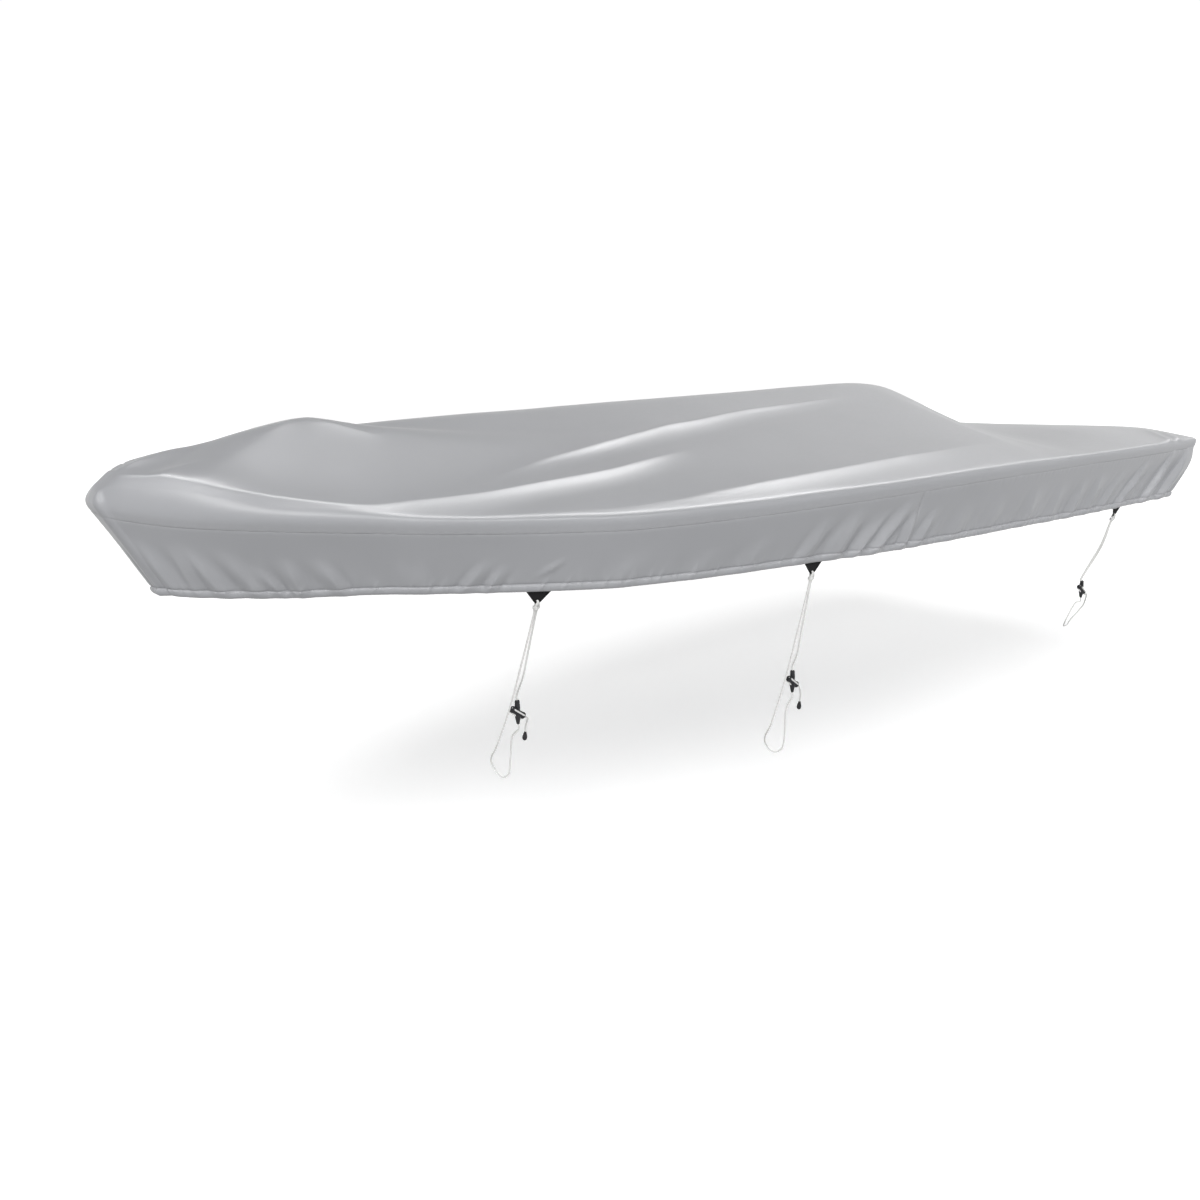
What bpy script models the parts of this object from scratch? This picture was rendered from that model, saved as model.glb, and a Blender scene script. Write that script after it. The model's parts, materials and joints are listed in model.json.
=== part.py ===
"""A fitted boat cover, with its tie tabs and three tie-down cords.

The cover is a top panel that is tented over a low ridge and rolls over the gunwale line all
round, and a skirt sewn below it in four lengths. It is hollow and open below.
Metres, +Z up, +X towards the stern, -Y the port side. The origin is on the underside of the
top panel, on the centreline at mid-length, where the cover is held up.
"""
import math

import bmesh
import bpy
from mathutils import Matrix, Vector

# ---- driving sizes ----
MIDLENGTH = 2.26         # distance of the origin from the nose
SHEET = 0.002            # coated cloth with its turned seams
ROLL = 0.026             # cloth taken up by the roll over the gunwale
ROLL_DROP = 0.008        # straight strip below the roll, down to the skirt seam
SEAM_GAP = 0.0006        # between two cloth pieces that are sewn edge to edge
PIECE_GAP = 0.0004       # between a fitting and what carries it
CROWN_RADIUS = 0.05      # how widely the ridge is rounded, as a part of the half-beam
KNEE_WIDTH = 0.12        # how widely a shoulder is rounded, as a part of the half-beam
SKIRT_SEAM = 2.395       # distance of the side seam from the nose
TOP_COLUMNS = 28         # facets across the top panel
ARC_STEPS = 3            # facets round each corner of the plan
ROLL_STEPS = 2           # facets over the gunwale
SKIRT_ROWS = 3           # facets down the skirt
SKIRT_SPLIT = 2          # side skirt facets for each facet of the top panel
NOSE_LIFT = 0.012        # how much higher the rolled edge is over the nose
STERN_LAP = 1            # columns of the stern that the side skirts wrap round onto
BOW_SKIP = 7             # facets of the top panel for each facet of the skirt across the nose


# Cross-sections, by distance from the nose: half the beam and height at the gunwale, height of
# the ridge, and where the hem of the same section lies (its own distance, half-width, height).
SECTION_COLUMNS = ("along", "half", "gunwale", "ridge", "hem_along", "hem_half", "hem")
SECTIONS = (
    (0.016, 0.060, -0.192, -0.147, 0.166, 0.036, -0.450),
    (0.060, 0.098, -0.202, -0.114, 0.194, 0.052, -0.456),
    (0.120, 0.146, -0.214, -0.092, 0.238, 0.078, -0.462),
    (0.250, 0.229, -0.231, -0.068, 0.343, 0.132, -0.472),
    (0.400, 0.304, -0.246, -0.040, 0.470, 0.194, -0.481),
    (0.550, 0.373, -0.259, -0.009, 0.597, 0.256, -0.485),
    (0.620, 0.404, -0.265, -0.005, 0.660, 0.290, -0.488),
    (0.710, 0.447, -0.273, -0.034, 0.740, 0.338, -0.493),
    (0.780, 0.475, -0.278, -0.030, 0.803, 0.366, -0.497),
    (1.050, 0.577, -0.293, -0.023, 1.056, 0.488, -0.511),
    (1.300, 0.653, -0.304, -0.018, 1.300, 0.566, -0.524),
    (1.600, 0.729, -0.301, -0.011, 1.600, 0.643, -0.526),
    (2.000, 0.806, -0.291, -0.004, 2.000, 0.721, -0.524),
    (2.260, 0.840, -0.285, 0.001, 2.260, 0.756, -0.527),
    (2.800, 0.884, -0.273, 0.016, 2.800, 0.800, -0.526),
    (3.050, 0.894, -0.271, 0.020, 3.050, 0.810, -0.526),
    (3.200, 0.896, -0.271, 0.011, 3.198, 0.811, -0.528),
    (3.300, 0.897, -0.270, -0.010, 3.297, 0.812, -0.530),
    (3.400, 0.898, -0.270, -0.062, 3.395, 0.813, -0.531),
    (3.520, 0.899, -0.270, -0.132, 3.512, 0.814, -0.532),
    (3.650, 0.900, -0.271, -0.170, 3.636, 0.815, -0.533),
    (3.800, 0.900, -0.272, -0.183, 3.780, 0.815, -0.534),
    (4.000, 0.898, -0.273, -0.198, 3.970, 0.813, -0.535),
    (4.200, 0.893, -0.274, -0.214, 4.158, 0.808, -0.537),
    (4.470, 0.886, -0.273, -0.236, 4.416, 0.802, -0.540),
)

# How the cloth rises from the gunwale to the ridge in those sections: a shoulder, given as a
# part of the half-beam and a part of the rise. Equal parts are a straight tent.
SHOULDER_COLUMNS = ("along", "inboard", "rise")
SHOULDERS = (
    (0.016, 0.34, 0.76),
    (0.120, 0.32, 0.64),
    (0.250, 0.30, 0.45),
    (0.400, 0.28, 0.28),
    (2.800, 0.50, 0.50),
    (3.100, 0.50, 0.47),
    (3.300, 0.50, 0.38),
    (3.400, 0.49, 0.39),
    (3.520, 0.44, 0.48),
    (3.650, 0.38, 0.64),
    (3.900, 0.34, 0.94),
    (4.200, 0.32, 1.12),
    (4.470, 0.28, 1.46),
)

# Long creases of the top panel: soft ridges that run fore and aft. Each has its place across
# (part of the half-beam, in from the gunwale), its height and its half-width.
CREASE_COLUMNS = ("along", "inboard", "height", "width")
CREASES = {
    "bow_edge": (
        (0.10, 0.30, 0.006, 0.030), (0.30, 0.26, 0.010, 0.030), (0.50, 0.15, 0.012, 0.036),
        (0.80, 0.22, 0.009, 0.045), (1.20, 0.37, 0.012, 0.050), (1.60, 0.44, 0.010, 0.055),
        (2.10, 0.47, 0.000, 0.060)),
    "ridge_fold": (
        (0.95, 0.42, 0.000, 0.050), (1.40, 0.60, 0.012, 0.050), (1.80, 0.70, 0.015, 0.050),
        (2.20, 0.78, 0.012, 0.050), (2.75, 0.83, 0.000, 0.050)),
    "inner_edge": (
        (1.00, 0.05, 0.000, 0.030), (1.30, 0.09, 0.008, 0.035), (2.00, 0.17, 0.014, 0.050),
        (2.60, 0.21, 0.016, 0.060), (3.00, 0.22, 0.012, 0.070), (3.35, 0.22, 0.000, 0.080)),
}
STARBOARD_CREASE = 0.8   # the far side's creases, as a part of these heights

# Soft folds of the skirt, which start part of the way down and are deepest at the hem. The hem
# place is measured along the cover from the nose, and lean is how much further aft the top is.
FOLD_COLUMNS = ("along", "lean", "top", "height", "width")
PORT_FOLDS = (
    (0.30, -0.10, 0.35, 0.008, 0.030), (0.41, -0.09, 0.40, 0.007, 0.030),
    (0.60, -0.07, 0.40, 0.006, 0.032), (0.74, -0.06, 0.45, 0.006, 0.032),
    (1.36, 0.05, 0.55, 0.004, 0.035), (1.98, 0.10, 0.45, 0.006, 0.040),
    (2.12, 0.12, 0.25, 0.008, 0.042), (2.25, 0.12, 0.30, 0.007, 0.040),
    (2.55, 0.12, 0.35, 0.006, 0.045), (2.86, 0.14, 0.30, 0.007, 0.048),
    (3.15, 0.15, 0.35, 0.006, 0.050), (3.50, 0.17, 0.30, 0.007, 0.052),
    (4.05, 0.16, 0.10, 0.009, 0.052), (4.25, 0.12, 0.10, 0.009, 0.048),
)
STARBOARD_SHIFT = 0.07   # the far side's folds lie this much further aft

# Tie tabs, by distance from the nose. They are on both sides.
TAB_PLACES = (1.032, 1.972, 3.915)
TAB_WIDTH = 0.075
TAB_DROP = 0.042
TAB_TURN_UP = 0.014      # the part that is sewn behind the hem
TAB_TIP = 0.012          # width of the blunt tip
TAB_THICK = 0.002

CORD_RADIUS = 0.003
KNOT_PROFILE = ((0.0035, 0.0), (0.0110, -0.012), (0.0085, -0.021))
CLEAT_RADIUS = 0.011
CLEAT_LENGTH = 0.056
CLEAT_SLANT = (0.80, 0.0, -0.60)
CLEAT_RISE = 0.039       # height of the knob's top over the barrel's middle
CLEAT_FALL = 0.036       # depth of the cone's tip below it
CORD_GAP = 0.0008        # between a cord's flat end and the fitting it meets
CORD_STRAIGHT = 0.018    # a cord leaves each fitting straight for this far
TOGGLE_PROFILE = ((0.0030, 0.0), (0.0055, -0.009), (0.0080, -0.022), (0.0055, -0.031),
                  (0.0020, -0.034))

# The three ties on the port side, each from its tab down to the turn that it is looped in.
# A cord runs from one fitting to another, or to a free end that carries a toggle. Its route
# between them is a list of (distance from the nose, Y, Z), top first.
TIES = {
    "tie_1": {
        "cleat": (1.059, -0.314, -0.919),
        "cords": {
            "loop": ("knot_fore", "cone", (
                (1.034, -0.381, -0.748), (1.028, -0.320, -0.893), (1.016, -0.256, -1.030),
                (1.024, -0.205, -1.092), (1.040, -0.200, -1.134), (1.052, -0.222, -1.158),
                (1.062, -0.246, -1.138), (1.064, -0.254, -1.090), (1.060, -0.276, -1.010))),
            "leg": ("knot_aft", "knob", ((1.049, -0.398, -0.708), (1.052, -0.362, -0.792))),
            "tail": ("barrel", "toggle", ((1.103, -0.292, -0.976), (1.106, -0.283, -1.000))),
        },
    },
    "tie_2": {
        "cleat": (1.971, -0.633, -0.946),
        "cords": {
            "loop": ("knot_fore", "cone", (
                (1.946, -0.675, -0.751), (1.930, -0.634, -0.935), (1.908, -0.600, -1.080),
                (1.918, -0.560, -1.150), (1.940, -0.548, -1.190), (1.958, -0.565, -1.214),
                (1.970, -0.592, -1.196), (1.972, -0.602, -1.140), (1.966, -0.612, -1.050))),
            "leg": ("knot_aft", "knob", ((1.966, -0.672, -0.768), (1.968, -0.655, -0.842))),
            "tail": ("barrel", "toggle", ((2.028, -0.622, -1.008), (2.034, -0.614, -1.034))),
        },
    },
    "tie_3": {
        "cleat": (3.852, -0.700, -0.908),
        "cords": {
            "leg_fore": ("knot_fore", "knob_fore", ((3.872, -0.758, -0.710),)),
            "leg_aft": ("knot_aft", "knob_aft", ((3.888, -0.756, -0.716),)),
            "loop": ("cone", "barrel", (
                (3.836, -0.688, -0.968), (3.808, -0.682, -0.998), (3.786, -0.672, -1.044),
                (3.806, -0.655, -1.074), (3.877, -0.635, -1.086), (3.948, -0.615, -1.078),
                (3.988, -0.622, -1.052), (3.992, -0.648, -1.010), (3.966, -0.670, -0.968),
                (3.924, -0.690, -0.940))),
        },
    },
}
CORD_POINT_STEP = 3.0    # spacing of a cord's points, in cord diameters

CLOTH = ("cover_cloth", (0.47, 0.48, 0.50, 1.0), 0.42)
WEBBING = ("black_webbing", (0.02, 0.02, 0.022, 1.0), 0.75)
CORD = ("white_cord", (0.80, 0.80, 0.78, 1.0), 0.70)
PLASTIC = ("black_plastic", (0.015, 0.015, 0.017, 1.0), 0.45)


# ---- tables and curves ----
def smooth_column(rows, columns, name, along):
    """The named column of a table at a distance from the nose, on a curve with no overshoot."""
    col = columns.index(name)
    xs = [row[0] for row in rows]
    ys = [row[col] for row in rows]
    if along <= xs[0]:
        return ys[0]
    if along >= xs[-1]:
        return ys[-1]
    rises = [(ys[i + 1] - ys[i]) / (xs[i + 1] - xs[i]) for i in range(len(xs) - 1)]
    slopes = [rises[0]]
    for before, after in zip(rises, rises[1:]):
        slopes.append(2 * before * after / (before + after) if before * after > 0 else 0.0)
    slopes.append(rises[-1])
    i = max(k for k in range(len(xs) - 1) if xs[k] <= along)
    width = xs[i + 1] - xs[i]
    t = (along - xs[i]) / width
    return ((2 * t**3 - 3 * t**2 + 1) * ys[i] + (t**3 - 2 * t**2 + t) * width * slopes[i]
            + (3 * t**2 - 2 * t**3) * ys[i + 1] + (t**3 - t**2) * width * slopes[i + 1])


def section(along):
    """All the columns of the section table at a distance from the nose."""
    return {name: smooth_column(SECTIONS, SECTION_COLUMNS, name, along)
            for name in SECTION_COLUMNS[1:]}


def soft_step(value, width):
    """max(value, 0) with its corner rounded over the given width."""
    return 0.5 * (value + math.sqrt(value * value + width * width))


def tent_shape(along, inboard):
    """How the tented cloth rises from the gunwale inwards, before it is fitted to the ridge."""
    knee = smooth_column(SHOULDERS, SHOULDER_COLUMNS, "inboard", along)
    rise = smooth_column(SHOULDERS, SHOULDER_COLUMNS, "rise", along)
    outer = rise / knee
    inner = (1.0 - rise) / (1.0 - knee)
    bend = soft_step(inboard - knee, KNEE_WIDTH) - soft_step(-knee, KNEE_WIDTH)
    crown = soft_step(inboard - 1.0, CROWN_RADIUS) - soft_step(-1.0, CROWN_RADIUS)
    return outer * inboard + (inner - outer) * bend - 2.0 * inner * crown


def tent_rise(along, inboard):
    """Part of the rise from gunwale (0) to ridge (1) at a part of the half-beam, inboard."""
    return tent_shape(along, inboard) / tent_shape(along, 1.0)


def crease_height(along, inboard, half, side):
    """Height that the long creases add to the top panel at one place."""
    total = 0.0
    for rows in CREASES.values():
        if rows[0][0] <= along <= rows[-1][0]:
            middle = smooth_column(rows, CREASE_COLUMNS, "inboard", along)
            height = smooth_column(rows, CREASE_COLUMNS, "height", along)
            width = smooth_column(rows, CREASE_COLUMNS, "width", along)
            total += height * math.exp(-((inboard - middle) * half / width) ** 2)
    return total * (1.0 if side < 0 else STARBOARD_CREASE)


def top_point(along, across):
    """A point of the top panel. across is Y as a part of the half-beam, -1 to 1."""
    here = section(along)
    inboard = 1.0 - abs(across)
    z = here["gunwale"] + (here["ridge"] - here["gunwale"]) * tent_rise(along, inboard)
    edge_fade = min(1.0, inboard * here["half"] / ROLL)
    z += crease_height(along, inboard, here["half"], across) * edge_fade
    return Vector((along - MIDLENGTH, across * here["half"], z))


def hem_point(along, side):
    """The point of the hem that belongs to a section."""
    here = section(along)
    return Vector((here["hem_along"] - MIDLENGTH, side * here["hem_half"], here["hem"]))


# ---- the rim: the closed line round the plan where the top rolls over into the skirt ----
def stations():
    """Distances from the nose of the top panel's cross-rows, closer together at the bow."""
    first = SECTIONS[0][0]
    last = SECTIONS[-1][0]
    breaks = ((first, 0.34, 6), (0.34, 1.18, 10), (1.18, SKIRT_SEAM, 10),
              (SKIRT_SEAM, 3.16, 7), (3.16, 3.96, 7), (3.96, last, 5))
    out = [first]
    for start, end, count in breaks:
        out += [start + (end - start) * (i + 1) / count for i in range(count)]
    return out


def across_values(along):
    """Where the inner columns of a cross-row lie, as parts of the half-beam."""
    limit = 1.0 - ROLL / section(along)["half"]
    return [limit * (2.0 * j / TOP_COLUMNS - 1.0) for j in range(TOP_COLUMNS + 1)]


def inner_rows():
    """The grid of the top panel inside the roll."""
    return [[top_point(along, v) for v in across_values(along)] for along in stations()]


def rim_side(along, side):
    """Where the roll starts, its sharp corner before rounding, and the hem, at one section."""
    here = section(along)
    corner = Vector((along - MIDLENGTH, side * here["half"], here["gunwale"]))
    start = top_point(along, side * (1.0 - ROLL / here["half"]))
    return start, corner, hem_point(along, side)


def rim_end(start, bow):
    """The same for a point of the first or last cross-row, where the cloth rolls over the end."""
    here = section(stations()[0 if bow else -1])
    if bow:
        corner = Vector((start.x - ROLL, start.y, here["gunwale"] + NOSE_LIFT))
        hem_x = here["hem_along"] - MIDLENGTH - ROLL
    else:
        corner = start + Vector((ROLL, 0.0, -0.004))
        hem_x = here["hem_along"] - MIDLENGTH + ROLL
    hem = Vector((hem_x, start.y * here["hem_half"] / here["half"], here["hem"]))
    return start, corner, hem


def rim_arc(start, side, bow):
    """The rim round one corner of the plan, from the side towards the end."""
    side_rim = rim_side(stations()[0 if bow else -1], side)
    end_rim = rim_end(start, bow)
    out = []
    for step in range(1, ARC_STEPS):
        turn = math.pi / 2 * step / ARC_STEPS
        share = step / ARC_STEPS
        along = -1.0 if bow else 1.0
        corner = start + Vector((along * math.sin(turn), side * math.cos(turn), 0.0)) * ROLL
        corner.z = side_rim[1].z * (1 - share) + end_rim[1].z * share
        hem = side_rim[2] * (1 - share) + end_rim[2] * share
        out.append((start, corner, hem))
    return out


def rim_loop():
    """The whole rim, from the port stern corner forward round the bow and back, with the names
    of the skirt piece that hangs from each stretch."""
    rows = inner_rows()
    places = stations()
    port = [(rim_side(s, -1), s) for s in reversed(places)]
    starboard = [(rim_side(s, 1), s) for s in places]
    bow = rim_arc(rows[0][0], -1, True) + [rim_end(p, True) for p in rows[0]]
    bow += list(reversed(rim_arc(rows[0][-1], 1, True)))
    stern_starboard = rim_arc(rows[-1][-1], 1, False)
    stern = [rim_end(p, False) for p in reversed(rows[-1])]
    stern_port = list(reversed(rim_arc(rows[-1][0], -1, False)))
    loop = []
    loop += [(rim, "skirt_port" if s > SKIRT_SEAM + 1e-6 else "skirt_bow") for rim, s in port]
    loop += [(rim, "skirt_bow") for rim in bow]
    loop += [(rim, "skirt_bow" if s < SKIRT_SEAM - 1e-6 else "skirt_starboard")
             for rim, s in starboard]
    loop += [(rim, "skirt_starboard") for rim in stern_starboard + stern[:STERN_LAP]]
    loop += [(rim, "skirt_stern") for rim in stern[STERN_LAP:-STERN_LAP - 1]]
    loop += [(rim, "skirt_port") for rim in stern[-STERN_LAP - 1:] + stern_port]
    return loop


def roll_point(rim, share):
    """A point of the roll over the gunwale, 0 at the top panel and 1 at its lower end."""
    start, corner, hem = rim
    down = (hem - corner).normalized()
    end = corner + down * ROLL
    return start * (1 - share) ** 2 + corner * 2 * share * (1 - share) + end * share**2


def skirt_top(rim):
    """The lower end of the strip below the roll, where the skirt is sewn on."""
    start, corner, hem = rim
    return roll_point(rim, 1.0) + (hem - corner).normalized() * ROLL_DROP


def outward(rim, before, after):
    """The direction in which the skirt faces at one place of the rim."""
    facing = (after[1] - before[1]).cross(rim[2] - rim[1])
    facing.z = 0.0
    return facing.normalized()


def fold_depth(point, down):
    """How far a fold pushes the skirt outwards, at a part of the way down from seam to hem."""
    along = point.x + MIDLENGTH
    shift = 0.0 if point.y < 0 else STARBOARD_SHIFT
    total = 0.0
    for place, lean, top, height, width in PORT_FOLDS:
        if down > top:
            grown = (down - top) / (1.0 - top)
            middle = place + shift + lean * (1.0 - down)
            total += height * grown * math.exp(-((along - middle) / width) ** 2)
    for tab in TAB_PLACES:
        total *= 1.0 - math.exp(-((along - tab) / 0.075) ** 2)
    return total


# ---- meshes ----
def make_material(spec):
    """A plain material with the part's colour and roughness."""
    name, colour, roughness = spec
    material = bpy.data.materials.new(name)
    material.use_nodes = True
    shader = material.node_tree.nodes["Principled BSDF"]
    shader.inputs["Base Color"].default_value = colour
    shader.inputs["Roughness"].default_value = roughness
    return material


def link_mesh(name, bm, material, collection):
    """A new object from a bmesh."""
    mesh = bpy.data.meshes.new(name)
    bm.to_mesh(mesh)
    bm.free()
    mesh.materials.append(material)
    obj = bpy.data.objects.new(name, mesh)
    collection.objects.link(obj)
    return obj


def add_strip(bm, rows, closed):
    """Faces between rows of points. Neighbouring points that coincide share one vertex."""
    known = {}

    def vertex(point):
        key = tuple(round(c, 6) for c in point)
        if key not in known:
            known[key] = bm.verts.new(point)
        return known[key]

    for upper, lower in zip(rows, rows[1:]):
        count = len(upper)
        for i in range(count if closed else count - 1):
            k = (i + 1) % count
            ring = []
            for point in (upper[i], upper[k], lower[k], lower[i]):
                v = vertex(point)
                if v not in ring:
                    ring.append(v)
            if len(ring) > 2 and bm.faces.get(ring) is None:
                bm.faces.new(ring)


def add_cloth(name, bm, material, collection):
    """Gives an open surface, seen from outside the cover, the thickness of the cloth."""
    bmesh.ops.remove_doubles(bm, verts=bm.verts, dist=1e-5)
    bmesh.ops.recalc_face_normals(bm, faces=bm.faces)
    highest = max(bm.faces, key=lambda f: f.calc_center_median().z)
    outermost = max(bm.faces, key=lambda f: abs(f.calc_center_median().y))
    centre = outermost.calc_center_median()
    if name == "top_panel":
        inside_out = highest.normal.z < 0
    elif name == "skirt_stern":
        inside_out = highest.normal.x < 0
    else:
        inside_out = outermost.normal.y * centre.y < 0
    if inside_out:
        bmesh.ops.reverse_faces(bm, faces=bm.faces)
    obj = link_mesh(name, bm, material, collection)
    solid = obj.modifiers.new("cloth_thickness", "SOLIDIFY")
    solid.thickness = SHEET
    solid.offset = -1.0
    return obj


def make_top_panel(loop, material, collection):
    """The one panel from gunwale to gunwale, with its roll and the strip down to the seam."""
    bm = bmesh.new()
    add_strip(bm, inner_rows(), closed=False)
    rims = [rim for rim, _ in loop]
    ring = [[roll_point(rim, i / ROLL_STEPS) for rim in rims] for i in range(ROLL_STEPS + 1)]
    ring.append([skirt_top(rim) for rim in rims])
    add_strip(bm, ring, closed=True)
    return add_cloth("top_panel", bm, material, collection)


def skirt_columns(loop, name):
    """The rims of one skirt piece in order, with one more at its far end, each with its outward
    direction. They are split finer along the sides, and thinned out across the narrow nose."""
    count = len(loop)
    rims = [rim for rim, _ in loop]
    names = [owner for _, owner in loop]
    start = next(i for i in range(count) if names[i] == name and names[i - 1] != name)
    chosen = []
    i = start
    while names[i % count] == name:
        chosen.append(i % count)
        i += 1
    chosen.append(i % count)
    nose = [i for i in chosen if rims[i][1].x < -MIDLENGTH + 1e-4]
    dropped = {i for k, i in enumerate(nose) if k % BOW_SKIP}
    columns = []
    for i in chosen:
        if i not in dropped:
            facing = outward(rims[i], rims[i - 1], rims[(i + 1) % count])
            columns.append((skirt_top(rims[i]), rims[i][2], facing))
    split = 1 if name == "skirt_stern" else SKIRT_SPLIT
    fine = []
    for (top_a, hem_a, face_a), (top_b, hem_b, face_b) in zip(columns, columns[1:]):
        for step in range(split):
            t = step / split
            fine.append((top_a.lerp(top_b, t), hem_a.lerp(hem_b, t),
                         face_a.lerp(face_b, t).normalized()))
    fine.append(columns[-1])
    return fine


def make_skirt(name, loop, material, collection):
    """One length of the skirt, from its seam below the gunwale to its hem."""
    fine = skirt_columns(loop, name)
    rows = []
    for row in range(SKIRT_ROWS + 1):
        down = row / SKIRT_ROWS
        line = []
        for top, hem, facing in fine:
            drop = (hem - top).normalized()
            point = (top + drop * SEAM_GAP).lerp(hem, down)
            if name != "skirt_stern":
                point += facing * fold_depth(point, down)
            line.append(point)
        pull = (line[1] - line[0]).normalized() * (SEAM_GAP / 2)
        line[0] = line[0] + pull
        pull = (line[-2] - line[-1]).normalized() * (SEAM_GAP / 2)
        line[-1] = line[-1] + pull
        rows.append(line)
    bm = bmesh.new()
    add_strip(bm, rows, closed=False)
    return add_cloth(name, bm, material, collection)


def skirt_place(along, side):
    """One place of a side skirt as it is faceted: its hem, the way down to it, and outwards."""
    places = stations()
    i = max(k for k in range(len(places) - 1) if places[k] <= along)
    share = (along - places[i]) / (places[i + 1] - places[i])
    _, edge_a, hem_a = rim_side(places[i], side)
    _, edge_b, hem_b = rim_side(places[i + 1], side)
    hem = hem_a.lerp(hem_b, share)
    down = (hem - edge_a.lerp(edge_b, share)).normalized()
    facing = (hem_b - hem_a).cross(down).normalized()
    return hem, down, facing if facing.y * side > 0 else -facing


def tab_pull(along, side, cleat):
    """The way in which the tie pulls a tab, from the hem towards the tie's cleat."""
    hem, _, _ = skirt_place(along, side)
    return Vector((cleat[0] - MIDLENGTH - hem.x, side * abs(cleat[1]) - hem.y,
                   cleat[2] - hem.z)).normalized()


def make_tab(name, along, side, pull, material, collection):
    """A triangular webbing tab, sewn behind the hem, with its point down where it is pulled."""
    half = TAB_WIDTH / 2
    rows = [[] for _ in range(3)]
    for x in (-half, -half / 2, -TAB_TIP / 2, TAB_TIP / 2, half / 2, half):
        hem, down, facing = skirt_place(along + x, side)
        inside = hem - facing * (SHEET + PIECE_GAP)
        reach = TAB_DROP * min(1.0, (half - abs(x)) / (half - TAB_TIP / 2))
        rows[0].append(inside - down * TAB_TURN_UP)
        rows[1].append(inside)
        rows[2].append(inside + pull * max(reach, 0.001))
    bm = bmesh.new()
    add_strip(bm, rows, closed=False)
    bmesh.ops.recalc_face_normals(bm, faces=bm.faces)
    if bm.faces[:][0].normal.y * side < 0:
        bmesh.ops.reverse_faces(bm, faces=bm.faces)
    obj = link_mesh(name, bm, material, collection)
    solid = obj.modifiers.new("webbing_thickness", "SOLIDIFY")
    solid.thickness = TAB_THICK
    solid.offset = -1.0
    return obj


def tab_tip(along, side, pull):
    """The middle of a tab's blunt tip."""
    hem, _, facing = skirt_place(along, side)
    return hem + pull * TAB_DROP - facing * (SHEET + PIECE_GAP + TAB_THICK / 2)


def make_turned(name, profile, place, axis, material, collection):
    """A turned piece: (radius, height) pairs, top first, about an axis that points up."""
    bm = bmesh.new()
    verts = [bm.verts.new((radius, 0.0, height)) for radius, height in profile]
    for a, b in zip(verts, verts[1:]):
        bm.edges.new((a, b))
    bmesh.ops.spin(bm, geom=list(bm.verts) + list(bm.edges), cent=(0, 0, 0), axis=(0, 0, 1),
                   angle=2 * math.pi, steps=12, use_merge=True)
    bmesh.ops.remove_doubles(bm, verts=bm.verts, dist=1e-6)
    bmesh.ops.holes_fill(bm, edges=[e for e in bm.edges if e.is_boundary])
    bmesh.ops.recalc_face_normals(bm, faces=bm.faces)
    turn = Vector((0, 0, 1)).rotation_difference(axis).to_matrix().to_4x4()
    bmesh.ops.transform(bm, matrix=Matrix.Translation(place) @ turn, verts=bm.verts)
    return link_mesh(name, bm, material, collection)


def smooth_route(points, step):
    """Evenly spaced points on a smooth curve through the given ones."""
    ends = [points[0] * 2 - points[1], *points, points[-1] * 2 - points[-2]]
    dense = []
    for a, b, c, d in zip(ends, ends[1:], ends[2:], ends[3:]):
        for i in range(24):
            t = i / 24
            dense.append(0.5 * ((2 * b) + (c - a) * t + (2 * a - 5 * b + 4 * c - d) * t**2
                                + (3 * b - a - 3 * c + d) * t**3))
    dense.append(points[-1])
    lengths = [0.0]
    for a, b in zip(dense, dense[1:]):
        lengths.append(lengths[-1] + (b - a).length)
    count = max(3, round(lengths[-1] / step))
    out = []
    k = 0
    for i in range(count + 1):
        want = lengths[-1] * i / count
        while k < len(lengths) - 2 and lengths[k + 1] < want:
            k += 1
        share = (want - lengths[k]) / (lengths[k + 1] - lengths[k])
        out.append(dense[k].lerp(dense[k + 1], share))
    return out


def make_cord(name, points, material, collection):
    """A cord along a smooth route."""
    route = smooth_route(points, CORD_POINT_STEP * 2 * CORD_RADIUS)
    curve = bpy.data.curves.new(name, "CURVE")
    curve.dimensions = "3D"
    curve.bevel_depth = CORD_RADIUS
    curve.bevel_resolution = 2
    curve.use_fill_caps = True
    spline = curve.splines.new("POLY")
    spline.points.add(len(route) - 1)
    for slot, point in zip(spline.points, route):
        slot.co = (*point, 1.0)
    curve.materials.append(material)
    obj = bpy.data.objects.new(name, curve)
    collection.objects.link(obj)
    return obj


def make_cleat(name, centre, material, collection):
    """A hard cord lock: a slanted barrel with a knob above and a cone below, in one piece."""
    slant = Vector(CLEAT_SLANT)
    bm = bmesh.new()
    turn = Vector((0, 0, 1)).rotation_difference(slant).to_matrix().to_4x4()
    bmesh.ops.create_cone(bm, cap_ends=True, segments=12, radius1=CLEAT_RADIUS,
                          radius2=CLEAT_RADIUS, depth=CLEAT_LENGTH,
                          matrix=Matrix.Translation(centre) @ turn)
    barrel = link_mesh(name, bm, material, collection)
    pieces = (("knob", 0.0090, 0.0068, 0.0, CLEAT_RISE), ("cone", 0.0050, 0.0095, -CLEAT_FALL, 0.0))
    for label, low, high, bottom, top in pieces:
        bm = bmesh.new()
        middle = centre + Vector((0, 0, (bottom + top) / 2))
        bmesh.ops.create_cone(bm, cap_ends=True, segments=12, radius1=low, radius2=high,
                              depth=top - bottom, matrix=Matrix.Translation(middle))
        cutter = link_mesh(f"{name}_{label}", bm, material, cutters)
        cutter.hide_render = True
        cutter.display_type = "WIRE"
        join = barrel.modifiers.new(label, "BOOLEAN")
        join.operation = "UNION"
        join.object = cutter
    return barrel


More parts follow.
